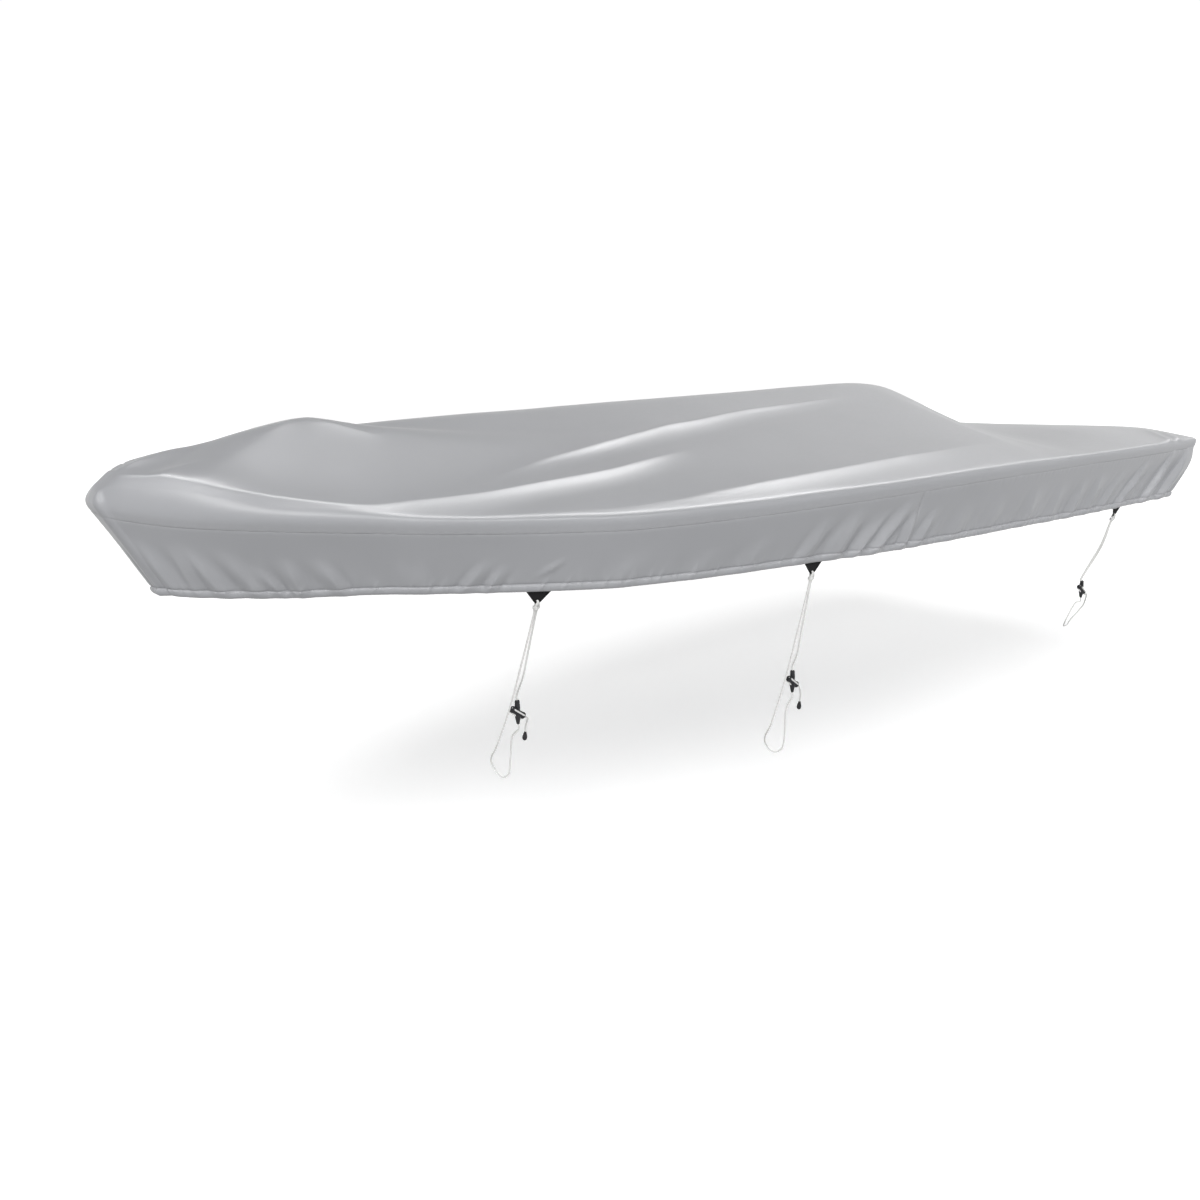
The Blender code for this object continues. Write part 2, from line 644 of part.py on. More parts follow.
def make_tie(name, tab_along, spec, collection):
    """One tie: its knot at the tab, its cords, the cleat that locks them, and any toggle."""
    def place(row):
        return Vector((row[0] - MIDLENGTH, row[1], row[2]))

    cleat = place(spec["cleat"])
    slant = Vector(CLEAT_SLANT)
    up = Vector((0, 0, 1))
    apart = Vector((CORD_RADIUS * 1.25, 0, 0))
    pull = tab_pull(tab_along, -1, spec["cleat"])
    knot_top = tab_tip(tab_along, -1, pull) + pull * PIECE_GAP
    knot_up = (knot_top - cleat).normalized()
    knot_end = knot_top + knot_up * KNOT_PROFILE[-1][1]
    knob_top = cleat + up * CLEAT_RISE
    make_turned(f"{name}_knot", KNOT_PROFILE, knot_top, knot_up, cord_material, collection)
    make_cleat(f"{name}_cleat", cleat, plastic, collection)
    # Each socket is where a cord meets a fitting, and the way it leaves.
    sockets = {
        "knot_fore": (knot_end - apart, -knot_up),
        "knot_aft": (knot_end + apart, -knot_up),
        "knob": (knob_top, up),
        "knob_fore": (knob_top - apart, up),
        "knob_aft": (knob_top + apart, up),
        "cone": (cleat - up * CLEAT_FALL, -up),
        "barrel": (cleat + slant * (CLEAT_LENGTH / 2), slant),
    }
    for label, (start, end, route) in spec["cords"].items():
        point, way = sockets[start]
        points = [point + way * CORD_GAP, point + way * CORD_STRAIGHT, *map(place, route)]
        if end == "toggle":
            hang = (points[-2] - points[-1]).normalized()
            make_turned(f"{name}_toggle", TOGGLE_PROFILE, points[-1] - hang * CORD_GAP, hang,
                        plastic, collection)
        else:
            point, way = sockets[end]
            points += [point + way * CORD_STRAIGHT, point + way * CORD_GAP]
        make_cord(f"{name}_{label}", points, cord_material, collection)


for old in list(bpy.data.objects):
    bpy.data.objects.remove(old)
boat_cover = bpy.data.collections.new("boat_cover")
bpy.context.scene.collection.children.link(boat_cover)
cutters = bpy.data.collections.new("cutters")
bpy.context.scene.collection.children.link(cutters)

cloth = make_material(CLOTH)
webbing = make_material(WEBBING)
cord_material = make_material(CORD)
plastic = make_material(PLASTIC)

rim = rim_loop()
make_top_panel(rim, cloth, boat_cover)
for skirt in ("skirt_bow", "skirt_port", "skirt_starboard", "skirt_stern"):
    make_skirt(skirt, rim, cloth, boat_cover)
for number, (along, (tie, spec)) in enumerate(zip(TAB_PLACES, TIES.items()), start=1):
    for side, label in ((-1, "port"), (1, "starboard")):
        pull = tab_pull(along, side, spec["cleat"])
        make_tab(f"tab_{label}_{number}", along, side, pull, webbing, boat_cover)
    make_tie(tie, along, spec, boat_cover)
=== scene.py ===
# %% [markdown]
# # A fitted, tented boat cover with three tie-downs
#
# This is a lesson in building a large soft thing that is held taut over a shape. The cover is one
# top panel, a skirt in four lengths, six webbing tabs and three cords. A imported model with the
# same pieces is the frame: every place here is in metres in that frame, with +X towards the
# stern, +Z up and the port side at -Y. The cloth is not simulated. A fitted cover hardly moves,
# so its shape is better given as a short table of cross-sections, with creases laid over it.

# %% Load the frame
import json
import math

import bmesh
import bpy
import numpy as np
from mathutils import Matrix, Vector, noise
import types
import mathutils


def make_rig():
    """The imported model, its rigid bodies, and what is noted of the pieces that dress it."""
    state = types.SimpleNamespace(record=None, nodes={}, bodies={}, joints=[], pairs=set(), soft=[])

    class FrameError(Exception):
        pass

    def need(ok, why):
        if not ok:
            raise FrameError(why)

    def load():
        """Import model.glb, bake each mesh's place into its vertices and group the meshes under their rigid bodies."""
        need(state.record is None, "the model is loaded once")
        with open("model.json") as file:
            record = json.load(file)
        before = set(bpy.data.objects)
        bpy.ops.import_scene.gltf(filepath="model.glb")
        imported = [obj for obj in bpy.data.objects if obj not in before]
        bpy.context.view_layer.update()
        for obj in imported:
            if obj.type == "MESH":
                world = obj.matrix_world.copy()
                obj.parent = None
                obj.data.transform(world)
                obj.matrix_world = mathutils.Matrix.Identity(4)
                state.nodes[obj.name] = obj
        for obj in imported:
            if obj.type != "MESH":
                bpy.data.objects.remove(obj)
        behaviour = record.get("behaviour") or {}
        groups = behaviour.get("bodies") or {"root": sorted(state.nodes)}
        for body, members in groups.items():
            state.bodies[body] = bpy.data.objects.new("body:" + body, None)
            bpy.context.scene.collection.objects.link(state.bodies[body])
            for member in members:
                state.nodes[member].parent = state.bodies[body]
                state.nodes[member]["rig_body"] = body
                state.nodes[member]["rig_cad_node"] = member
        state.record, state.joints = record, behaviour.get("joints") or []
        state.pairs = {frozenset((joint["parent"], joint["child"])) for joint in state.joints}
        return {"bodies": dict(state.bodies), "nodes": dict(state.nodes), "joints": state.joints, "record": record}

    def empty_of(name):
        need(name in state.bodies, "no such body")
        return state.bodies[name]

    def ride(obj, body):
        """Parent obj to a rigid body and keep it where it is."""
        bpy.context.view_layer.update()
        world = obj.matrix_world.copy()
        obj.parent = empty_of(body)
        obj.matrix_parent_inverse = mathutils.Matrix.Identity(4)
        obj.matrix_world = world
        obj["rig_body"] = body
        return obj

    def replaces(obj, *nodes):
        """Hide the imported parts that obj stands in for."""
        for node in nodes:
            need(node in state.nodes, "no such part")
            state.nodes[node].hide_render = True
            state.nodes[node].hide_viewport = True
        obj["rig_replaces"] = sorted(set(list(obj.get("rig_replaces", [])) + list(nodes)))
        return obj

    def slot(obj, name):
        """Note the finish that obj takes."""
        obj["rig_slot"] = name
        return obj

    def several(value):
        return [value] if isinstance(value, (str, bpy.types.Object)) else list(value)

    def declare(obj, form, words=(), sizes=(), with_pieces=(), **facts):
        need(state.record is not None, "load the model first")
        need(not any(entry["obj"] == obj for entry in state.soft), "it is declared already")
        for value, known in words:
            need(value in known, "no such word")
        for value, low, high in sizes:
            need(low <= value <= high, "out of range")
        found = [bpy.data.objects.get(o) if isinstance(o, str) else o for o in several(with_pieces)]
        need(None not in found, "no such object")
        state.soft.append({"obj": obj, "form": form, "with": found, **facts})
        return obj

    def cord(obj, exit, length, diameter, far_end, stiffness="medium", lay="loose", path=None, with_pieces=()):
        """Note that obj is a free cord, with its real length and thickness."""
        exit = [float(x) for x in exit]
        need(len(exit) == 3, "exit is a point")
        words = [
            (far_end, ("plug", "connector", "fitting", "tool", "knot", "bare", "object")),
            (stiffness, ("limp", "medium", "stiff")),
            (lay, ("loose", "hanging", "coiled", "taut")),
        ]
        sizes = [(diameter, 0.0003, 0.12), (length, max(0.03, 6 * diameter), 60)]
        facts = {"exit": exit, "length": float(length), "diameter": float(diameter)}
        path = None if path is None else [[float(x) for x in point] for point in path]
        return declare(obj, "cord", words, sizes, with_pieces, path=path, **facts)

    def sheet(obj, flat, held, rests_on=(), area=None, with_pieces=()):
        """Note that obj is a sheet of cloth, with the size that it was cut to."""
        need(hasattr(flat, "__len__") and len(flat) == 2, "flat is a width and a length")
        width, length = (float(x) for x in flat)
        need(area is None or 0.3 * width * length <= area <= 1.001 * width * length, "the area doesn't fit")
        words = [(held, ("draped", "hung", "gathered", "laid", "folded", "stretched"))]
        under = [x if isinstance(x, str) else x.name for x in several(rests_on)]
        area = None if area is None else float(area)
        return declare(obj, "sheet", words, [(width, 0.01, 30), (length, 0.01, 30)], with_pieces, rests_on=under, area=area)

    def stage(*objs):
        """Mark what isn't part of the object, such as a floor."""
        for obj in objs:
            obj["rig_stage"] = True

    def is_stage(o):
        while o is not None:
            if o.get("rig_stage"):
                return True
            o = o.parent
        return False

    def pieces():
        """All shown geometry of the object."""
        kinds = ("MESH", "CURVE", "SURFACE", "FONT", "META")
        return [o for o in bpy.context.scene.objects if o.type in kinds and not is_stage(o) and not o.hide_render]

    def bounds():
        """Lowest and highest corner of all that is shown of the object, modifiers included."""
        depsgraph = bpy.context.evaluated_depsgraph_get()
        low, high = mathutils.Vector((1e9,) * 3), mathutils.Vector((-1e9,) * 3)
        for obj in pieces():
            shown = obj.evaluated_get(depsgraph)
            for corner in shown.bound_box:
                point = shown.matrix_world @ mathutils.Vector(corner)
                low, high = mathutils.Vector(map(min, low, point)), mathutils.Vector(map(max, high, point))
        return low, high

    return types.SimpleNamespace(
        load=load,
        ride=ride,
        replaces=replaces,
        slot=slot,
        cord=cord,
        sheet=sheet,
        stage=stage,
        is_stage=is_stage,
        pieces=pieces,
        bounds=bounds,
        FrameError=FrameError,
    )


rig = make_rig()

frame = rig.load()
cad_low, cad_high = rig.bounds()
print("frame:", len(frame["nodes"]), "nodes, size", [round(v, 3) for v in cad_high - cad_low])

# %% [markdown]
# ## The camera
#
# The camera stands off the port bow, a little above the ridge, and looks slightly down. Its place
# and its three directions are written as they are, because a camera is easiest to check that way:
# right, up and backwards are the columns of its matrix. The lens follows from a focal length in
# pixels, since both are measured against the width of the picture.

# %% Camera
PICTURE_SIZE = 1200
FOCAL_PIXELS = 1036
SENSOR = 36.0
CAMERA_PLACE = Vector((-2.918, -2.836, 0.109))
CAMERA_RIGHT = Vector((0.7712, -0.6361, -0.0256))
CAMERA_UP = Vector((0.1582, 0.1526, 0.9755))

camera_data = bpy.data.cameras.new("camera")
camera_data.sensor_width = SENSOR
camera_data.lens = SENSOR * FOCAL_PIXELS / PICTURE_SIZE
camera = bpy.data.objects.new("camera", camera_data)
bpy.context.scene.collection.objects.link(camera)
backwards = CAMERA_RIGHT.cross(CAMERA_UP).normalized()
up = backwards.cross(CAMERA_RIGHT).normalized()
turn = Matrix((CAMERA_RIGHT.normalized(), up, backwards)).transposed()
camera.matrix_world = Matrix.Translation(CAMERA_PLACE) @ turn.to_4x4()
bpy.context.scene.camera = camera
print("camera lens:", round(camera_data.lens, 2), "mm")

# %% [markdown]
# ## Small helpers for materials
#
# A material is a tree of nodes. The helpers below keep each one short: `add_node` makes a node and
# sets its inputs by name, and `link` joins an output to an input. Values that are the same all
# over a surface are set on the shader itself.

# %% Material helpers
def new_material(name, colour, roughness):
    """A Principled material, its tree and its shader."""
    material = bpy.data.materials.new(name)
    material.use_nodes = True
    material.diffuse_color = (*colour, 1.0)
    shader = material.node_tree.nodes["Principled BSDF"]
    shader.inputs["Base Color"].default_value = (*colour, 1.0)
    shader.inputs["Roughness"].default_value = roughness
    return material, material.node_tree, shader


def add_node(tree, kind, settings=None, **inputs):
    """A node of a kind, with its settings and its input values. Underscores stand for spaces."""
    node = tree.nodes.new(kind)
    for key, value in (settings or {}).items():
        setattr(node, key, value)
    for key, value in inputs.items():
        node.inputs[key.replace("_", " ")].default_value = value
    return node


def link(tree, source, output, target, socket):
    """Joins an output to an input, each given by name or by number."""
    tree.links.new(source.outputs[output], target.inputs[socket])


def math_node(tree, operation, first, second=None, clamp=False):
    """A Math node. Each operand is a number or an output socket."""
    node = add_node(tree, "ShaderNodeMath", {"operation": operation, "use_clamp": clamp})
    for socket, value in zip(node.inputs, (first, second)):
        if value is None:
            continue
        if isinstance(value, (int, float)):
            socket.default_value = value
        else:
            tree.links.new(value, socket)
    return node.outputs[0]


def ramp_node(tree, factor, low, high, low_colour, high_colour):
    """A colour ramp between two stops, driven by an output socket."""
    node = tree.nodes.new("ShaderNodeValToRGB")
    first, last = node.color_ramp.elements
    first.position, last.position = low, high
    first.color, last.color = (*low_colour, 1.0), (*high_colour, 1.0)
    tree.links.new(factor, node.inputs[0])
    return node.outputs[0]


def range_node(tree, value, stops, low, high):
    """Maps an output socket from between two stops to between low and high."""
    node = add_node(tree, "ShaderNodeMapRange", {"clamp": True}, From_Min=stops[0],
                    From_Max=stops[1], To_Min=low, To_Max=high)
    tree.links.new(value, node.inputs["Value"])
    return node.outputs[0]


def object_noise(tree, **inputs):
    """A noise texture that is fixed to the object, with its input values."""
    texture = add_node(tree, "ShaderNodeTexNoise", **inputs)
    link(tree, add_node(tree, "ShaderNodeTexCoord"), "Object", texture, "Vector")
    return texture.outputs[0]


def uv_axes(tree, name):
    """The two axes of a UV map, as output sockets."""
    parts = add_node(tree, "ShaderNodeSeparateXYZ")
    link(tree, add_node(tree, "ShaderNodeUVMap", {"uv_map": name}), "UV", parts, 0)
    return parts.outputs["X"], parts.outputs["Y"]


def rib_node(tree, phase):
    """Round ribs: the absolute sine of an output socket."""
    return math_node(tree, "ABSOLUTE", math_node(tree, "SINE", phase))


def bump_node(tree, height, strength, distance, under=None):
    """A bump from a height socket, laid over another normal if one is given."""
    node = add_node(tree, "ShaderNodeBump", Strength=strength, Distance=distance)
    tree.links.new(height, node.inputs["Height"])
    if under is not None:
        tree.links.new(under, node.inputs["Normal"])
    return node.outputs["Normal"]


# %% [markdown]
# ## The cords come first
#
# Each tie is a white cord of 6 mm. It is hitched through the tip of its tab, runs down, goes
# round what it is tied to, and comes back to a hard cord lock. Two of them end in a short tail
# with a teardrop toggle. A cord has a fixed length, so its route is settled before anything else:
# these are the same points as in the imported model, top first, as distance from the nose, Y and Z.
# A smooth curve goes through them, and the tube follows it.

# %% Routes of the cords
MIDLENGTH = 2.26
CORD_RADIUS = 0.003
CORD_GAP = 0.0008
CORD_STRAIGHT = 0.018
ROUTE_PARTS = 24
CLEAT_LENGTH = 0.056
CLEAT_SLANT = Vector((0.80, 0.0, -0.60))
CLEAT_RISE = 0.039
CLEAT_FALL = 0.036

TIES = {
    "tie_1": {
        "cleat": (1.059, -0.314, -0.919),
        "cords": {
            "loop": ("knot", "cone", (
                (1.034, -0.381, -0.748), (1.028, -0.320, -0.893), (1.016, -0.256, -1.030),
                (1.024, -0.205, -1.092), (1.040, -0.200, -1.134), (1.052, -0.222, -1.158),
                (1.062, -0.246, -1.138), (1.064, -0.254, -1.090), (1.060, -0.276, -1.010))),
            "leg": ("knot", "knob", ((1.049, -0.398, -0.708), (1.052, -0.362, -0.792))),
            "tail": ("barrel", "toggle", ((1.103, -0.292, -0.976), (1.106, -0.283, -1.000))),
        },
    },
    "tie_2": {
        "cleat": (1.971, -0.633, -0.946),
        "cords": {
            "loop": ("knot", "cone", (
                (1.946, -0.675, -0.751), (1.930, -0.634, -0.935), (1.908, -0.600, -1.080),
                (1.918, -0.560, -1.150), (1.940, -0.548, -1.190), (1.958, -0.565, -1.214),
                (1.970, -0.592, -1.196), (1.972, -0.602, -1.140), (1.966, -0.612, -1.050))),
            "leg": ("knot", "knob", ((1.966, -0.672, -0.768), (1.968, -0.655, -0.842))),
            "tail": ("barrel", "toggle", ((2.028, -0.622, -1.008), (2.034, -0.614, -1.034))),
        },
    },
    "tie_3": {
        "cleat": (3.852, -0.700, -0.908),
        "cords": {
            "leg_fore": ("knot", "knob_fore", ((3.872, -0.758, -0.710),)),
            "leg_aft": ("knot", "knob_aft", ((3.888, -0.756, -0.716),)),
            "loop": ("cone", "barrel", (
                (3.836, -0.688, -0.968), (3.808, -0.682, -0.998), (3.786, -0.672, -1.044),
                (3.806, -0.655, -1.074), (3.877, -0.635, -1.086), (3.948, -0.615, -1.078),
                (3.988, -0.622, -1.052), (3.992, -0.648, -1.010), (3.966, -0.670, -0.968),
                (3.924, -0.690, -0.940))),
        },
    },
}


def in_frame(row):
    """A (distance from the nose, Y, Z) row as a point of the frame."""
    return Vector((row[0] - MIDLENGTH, row[1], row[2]))


def top_cap(node):
    """The middle of the upper end of a cord in the frame."""
    points = [v.co.copy() for v in frame["nodes"][node].data.vertices]
    highest = max(p.z for p in points)
    ring = [p for p in points if p.z > highest - 1.5 * CORD_RADIUS]
    return (Vector(map(min, *ring)) + Vector(map(max, *ring))) / 2


def curve_point(a, b, c, d, t):
    """A place at a part t of the way from b to c, on a smooth curve through four points."""
    return 0.5 * (2 * b + (c - a) * t + (2 * a - 5 * b + 4 * c - d) * t**2
                  + (3 * b - a - 3 * c + d) * t**3)


def running_lengths(points):
    """Distance along a line of points, from its first one to each."""
    lengths = [0.0]
    for a, b in zip(points, points[1:]):
        lengths.append(lengths[-1] + (b - a).length)
    return lengths


def smooth_route(points, step):
    """Evenly spaced points on a smooth curve through the given ones."""
    ends = [points[0] * 2 - points[1], *points, points[-1] * 2 - points[-2]]
    dense = [curve_point(*four, i / ROUTE_PARTS)
             for four in zip(ends, ends[1:], ends[2:], ends[3:]) for i in range(ROUTE_PARTS)]
    dense.append(points[-1])
    lengths = running_lengths(dense)
    count = max(3, round(lengths[-1] / step))
    places = np.linspace(0.0, lengths[-1], count + 1)
    axes = [np.interp(places, lengths, [p[k] for p in dense]) for k in range(3)]
    return [Vector(p) for p in zip(*axes)]


def route_length(points):
    """The length of a line of points."""
    return running_lengths(points)[-1]


def tie_sockets(tie):
    """Where cords meet the fittings of a tie, and the way they leave them."""
    cleat = in_frame(TIES[tie]["cleat"])
    upward = Vector((0.0, 0.0, 1.0))
    knob_top = cleat + upward * CLEAT_RISE
    apart = Vector((CORD_RADIUS * 1.25, 0.0, 0.0))
    legs = [f"{tie}_{name}" for name, spec in TIES[tie]["cords"].items() if spec[0] == "knot"]
    knot_ends = {leg: top_cap(leg) for leg in legs}
    knot_middle = sum(knot_ends.values(), Vector()) / len(legs)
    return {
        "knot": (knot_ends, (cleat - knot_middle).normalized()),
        "knob": (knob_top, upward),
        "knob_fore": (knob_top - apart, upward),
        "knob_aft": (knob_top + apart, upward),
        "cone": (cleat - upward * CLEAT_FALL, -upward),
        "barrel": (cleat + CLEAT_SLANT * (CLEAT_LENGTH / 2), CLEAT_SLANT),
    }


def cord_points(tie, name):
    """The points that one cord's curve goes through, from its start to its end."""
    sockets = tie_sockets(tie)
    start, end, route = TIES[tie]["cords"][name]
    point, way = sockets[start]
    if start == "knot":
        point = point[f"{tie}_{name}"] - way * CORD_GAP
    points = [point + way * CORD_GAP, point + way * CORD_STRAIGHT, *map(in_frame, route)]
    if end != "toggle":
        point, way = sockets[end]
        points += [point + way * CORD_STRAIGHT, point + way * CORD_GAP]
    return points


cord_routes = {f"{tie}_{name}": cord_points(tie, name)
               for tie, spec in TIES.items() for name in spec["cords"]}
for name, points in cord_routes.items():
    print(f"{name}: {route_length(smooth_route(points, 0.004)):.3f} m")

# %% [markdown]
# ## Cord finish
#
# The cord is braided from many fine white yarns. Braid can be modelled, but at 6 mm it is finer
# than a polygon should be, so the tube is plain mesh and the braid is height in its material. The
# tube carries a UV map in metres: U runs along the cord and V once round it. Two sets of diagonal
# ribs that cross each other make the plaited pattern, and a little noise keeps it from looking
# printed.

# %% Cord material
BRAID_PITCH = 0.0075
BRAID_STRANDS = 8
CORD_COLOUR = (0.66, 0.66, 0.65)
CORD_SHADE = (0.47, 0.47, 0.465)


def make_cord_material():
    """White plaited cord. Its ribs follow the UV map of the tube."""
    material, tree, shader = new_material("white_braid", CORD_COLOUR, 0.72)
    u, v = uv_axes(tree, "lay")
    along = math_node(tree, "MULTIPLY", u, 2 * math.pi / BRAID_PITCH)
    around = math_node(tree, "MULTIPLY", v, 2 * math.pi * BRAID_STRANDS)
    ribs = [rib_node(tree, math_node(tree, way, along, around)) for way in ("ADD", "SUBTRACT")]
    plait = math_node(tree, "MAXIMUM", *ribs)
    fuzz = object_noise(tree, Scale=900.0, Detail=2.0)
    height = math_node(tree, "ADD", plait, math_node(tree, "MULTIPLY", fuzz, 0.35))
    tree.links.new(bump_node(tree, height, 0.7, 0.0006), shader.inputs["Normal"])
    # The ramp paints the grooves between the ribs darker than the ribs: painted shade.
    tree.links.new(ramp_node(tree, plait, 0.15, 0.75, CORD_SHADE, CORD_COLOUR),
                   shader.inputs["Base Color"])
    shader.inputs["Sheen Weight"].default_value = 0.15
    return material


white_braid = make_cord_material()
print("made", white_braid.name)

# %% [markdown]
# A tube is a ring of points carried along the route. The ring must not twist, so each step turns
# the last ring by the smallest turn that fits the new direction. That is called parallel
# transport, and it is why the braid stays straight where the cord bends.

# %% Tube along a route
CORD_SIDES = 14
CORD_STEP = 0.0025


def carried_rings(route):
    """A direction, a side and an up vector at each point of a route, without twist."""
    ways = []
    for i in range(len(route)):
        before, after = route[max(i - 1, 0)], route[min(i + 1, len(route) - 1)]
        ways.append((after - before).normalized())
    side = ways[0].orthogonal().normalized()
    out = []
    last = ways[0]
    for way in ways:
        side = last.rotation_difference(way).to_matrix() @ side
        side = (side - way * side.dot(way)).normalized()
        out.append((way, side, way.cross(side)))
        last = way
    return out


def link_object(name, mesh, material, smooth=True):
    """A new object for a mesh, with its material, in the scene."""
    mesh.materials.append(material)
    if smooth:
        mesh.shade_smooth()
    obj = bpy.data.objects.new(name, mesh)
    bpy.context.scene.collection.objects.link(obj)
    return obj


def settle(obj, slot, node=None):
    """Says that a piece rides on the cover, its material slot, and any node it stands for."""
    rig.ride(obj, "root")
    if node:
        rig.replaces(obj, node)
    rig.slot(obj, slot)
    return obj


def tube_mesh(name, route, radius, sides):
    """A tube with a UV map in which U is metres along the route and V goes once round."""
    rings = carried_rings(route)
    verts, faces, uvs = [], [], []
    lengths = running_lengths(route)
    for point, (_, side, over) in zip(route, rings):
        for k in range(sides):
            angle = 2 * math.pi * k / sides
            verts.append(point + (side * math.cos(angle) + over * math.sin(angle)) * radius)
    for i in range(len(route) - 1):
        for k in range(sides):
            m = (k + 1) % sides
            faces.append((i * sides + k, i * sides + m, (i + 1) * sides + m, (i + 1) * sides + k))
            v0, v1 = k / sides, (k + 1) / sides
            uvs += [(lengths[i], v0), (lengths[i], v1), (lengths[i + 1], v1), (lengths[i + 1], v0)]
    for ring, flip in ((0, True), (len(route) - 1, False)):
        loop = [ring * sides + k for k in range(sides)]
        faces.append(tuple(reversed(loop)) if flip else tuple(loop))
        uvs += [(lengths[ring], k / sides) for k in range(sides)]
    mesh = bpy.data.meshes.new(name)
    mesh.from_pydata(verts, [], faces)
    layer = mesh.uv_layers.new(name="lay")
    layer.data.foreach_set("uv", [c for uv in uvs for c in uv])
    return mesh


def tubes_object(name, routes, radius, sides):
    """One piece of white cord that is made of several tubes."""
    bm = bmesh.new()
    for route in routes:
        mesh = tube_mesh(f"{name}_part", route, radius, sides)
        bm.from_mesh(mesh)
        bpy.data.meshes.remove(mesh)
    mesh = bpy.data.meshes.new(name)
    bm.to_mesh(mesh)
    bm.free()
    return link_object(name, mesh, white_braid)


cords = {}
for name, points in cord_routes.items():
    route = smooth_route(points, CORD_STEP)
    mesh = tube_mesh(f"{name}_cord", route, CORD_RADIUS, CORD_SIDES)
    obj = link_object(f"{name}_cord", mesh, white_braid)
    cords[name] = (settle(obj, "tie_cord", name), route)
print("cords:", ", ".join(cords))

# %% [markdown]
# ## Hard plastic: cord locks and toggles
#
# The locks and toggles are moulded in black nylon. Moulded nylon is never mirror-smooth: it has a
# very fine orange-peel and small scuffs, so the roughness and the height both vary a little with
# noise on Object coordinates. Turned shapes suit a profile and a spin, so one helper makes a body
# of revolution from a few (radius, height) pairs, rounds the profile with a curve, and closes its
# poles.

# %% Plastic material and turned bodies
PROFILE_STEPS = 3


def make_plastic_material():
    """Black moulded nylon with orange-peel and faint scuffs."""
    material, tree, shader = new_material("black_nylon", (0.014, 0.014, 0.016), 0.42)
    peel = object_noise(tree, Scale=700.0, Detail=3.0)
    scuff = object_noise(tree, Scale=90.0, Detail=5.0, Roughness=0.7)
    tree.links.new(bump_node(tree, peel, 0.25, 0.0003), shader.inputs["Normal"])
    tree.links.new(ramp_node(tree, scuff, 0.35, 0.75, (0.36,) * 3, (0.58,) * 3),
                   shader.inputs["Roughness"])
    tree.links.new(ramp_node(tree, scuff, 0.45, 0.85, (0.012, 0.012, 0.014),
                             (0.035, 0.035, 0.037)), shader.inputs["Base Color"])
    return material


def rounded_profile(pairs):
    """More points on a smooth curve through (radius, height) pairs."""
    points = [Vector((r, 0.0, h)) for r, h in pairs]
    ends = [points[0], *points, points[-1]]
    out = []
    for four in zip(ends, ends[1:], ends[2:], ends[3:]):
        for i in range(PROFILE_STEPS):
            p = curve_point(*four, i / PROFILE_STEPS)
            out.append((max(p.x, 0.0), p.z))
    return out + [pairs[-1]]


def turned_mesh(bm, pairs, place, axis, sides=28):
    """Adds a closed body of revolution to a bmesh: pairs run from one pole to the other."""
    turned = Vector((0, 0, 1)).rotation_difference(axis).to_matrix()
    rings = []
    for radius, height in pairs:
        count = sides if radius > 1e-5 else 1
        rings.append([bm.verts.new(place + turned @ Vector((
            radius * math.cos(2 * math.pi * k / sides),
            radius * math.sin(2 * math.pi * k / sides), height))) for k in range(count)])
    for upper, lower in zip(rings, rings[1:]):
        for k in range(sides):
            m = (k + 1) % sides
            ring = []
            for v in (upper[k % len(upper)], lower[k % len(lower)],
                      lower[m % len(lower)], upper[m % len(upper)]):
                if v not in ring:
                    ring.append(v)
            if len(ring) > 2:
                bm.faces.new(ring)
    for ring, flip in ((rings[0], False), (rings[-1], True)):
        if len(ring) > 1:
            bm.faces.new(list(reversed(ring)) if flip else ring)


def finish_bmesh(name, bm, material, node, slot):
    """Turns a bmesh into a piece that rides on the cover and stands for a node of the frame."""
    bmesh.ops.recalc_face_normals(bm, faces=bm.faces)
    mesh = bpy.data.meshes.new(name)
    bm.to_mesh(mesh)
    bm.free()
    obj = link_object(name, mesh, material)
    mesh.set_sharp_from_angle(angle=math.radians(42))
    return settle(obj, slot, node)


black_nylon = make_plastic_material()
print("made", black_nylon.name)

# %% [markdown]
# A cord lock has three bodies in one moulding: a slanted barrel that the cord is wound along, a
# knob above it that the cord goes in by, and a cone below. The knob and the cone have grip rings,
# and the barrel has a rounded rim at each end.

# %% Cord locks
BARREL = ((0.0, 0.0285), (0.0070, 0.0283), (0.0100, 0.0268), (0.0112, 0.0240), (0.0112, 0.0205),
          (0.0100, 0.0185), (0.0100, -0.0185), (0.0112, -0.0205), (0.0112, -0.0240),
          (0.0100, -0.0268), (0.0070, -0.0283), (0.0, -0.0285))
KNOB = ((0.0034, 0.0372), (0.0036, 0.0396), (0.0056, 0.0398), (0.0072, 0.0385), (0.0080, 0.0350),
        (0.0081, 0.0310), (0.0074, 0.0296), (0.0081, 0.0282), (0.0085, 0.0240), (0.0078, 0.0226),
        (0.0086, 0.0212), (0.0089, 0.0160), (0.0080, 0.0100), (0.0076, 0.0040), (0.0, 0.0035))
CONE = ((0.0, -0.0030), (0.0090, -0.0035), (0.0096, -0.0070), (0.0094, -0.0125), (0.0088, -0.0160),
        (0.0080, -0.0205), (0.0076, -0.0212), (0.0075, -0.0222), (0.0062, -0.0300),
        (0.0058, -0.0307), (0.0056, -0.0317), (0.0048, -0.0362), (0.0036, -0.0366),
        (0.0034, -0.0345))
TURN_RADIUS = 0.0027


def make_lock(tie):
    """The cord lock of a tie."""
    centre = in_frame(TIES[tie]["cleat"])
    bm = bmesh.new()
    upward = Vector((0, 0, 1))
    for profile, axis in ((BARREL, CLEAT_SLANT), (KNOB, upward), (CONE, upward)):
        turned_mesh(bm, rounded_profile(profile), centre, axis)
    return finish_bmesh(f"{tie}_lock", bm, black_nylon, f"{tie}_cleat", "hard_plastic")


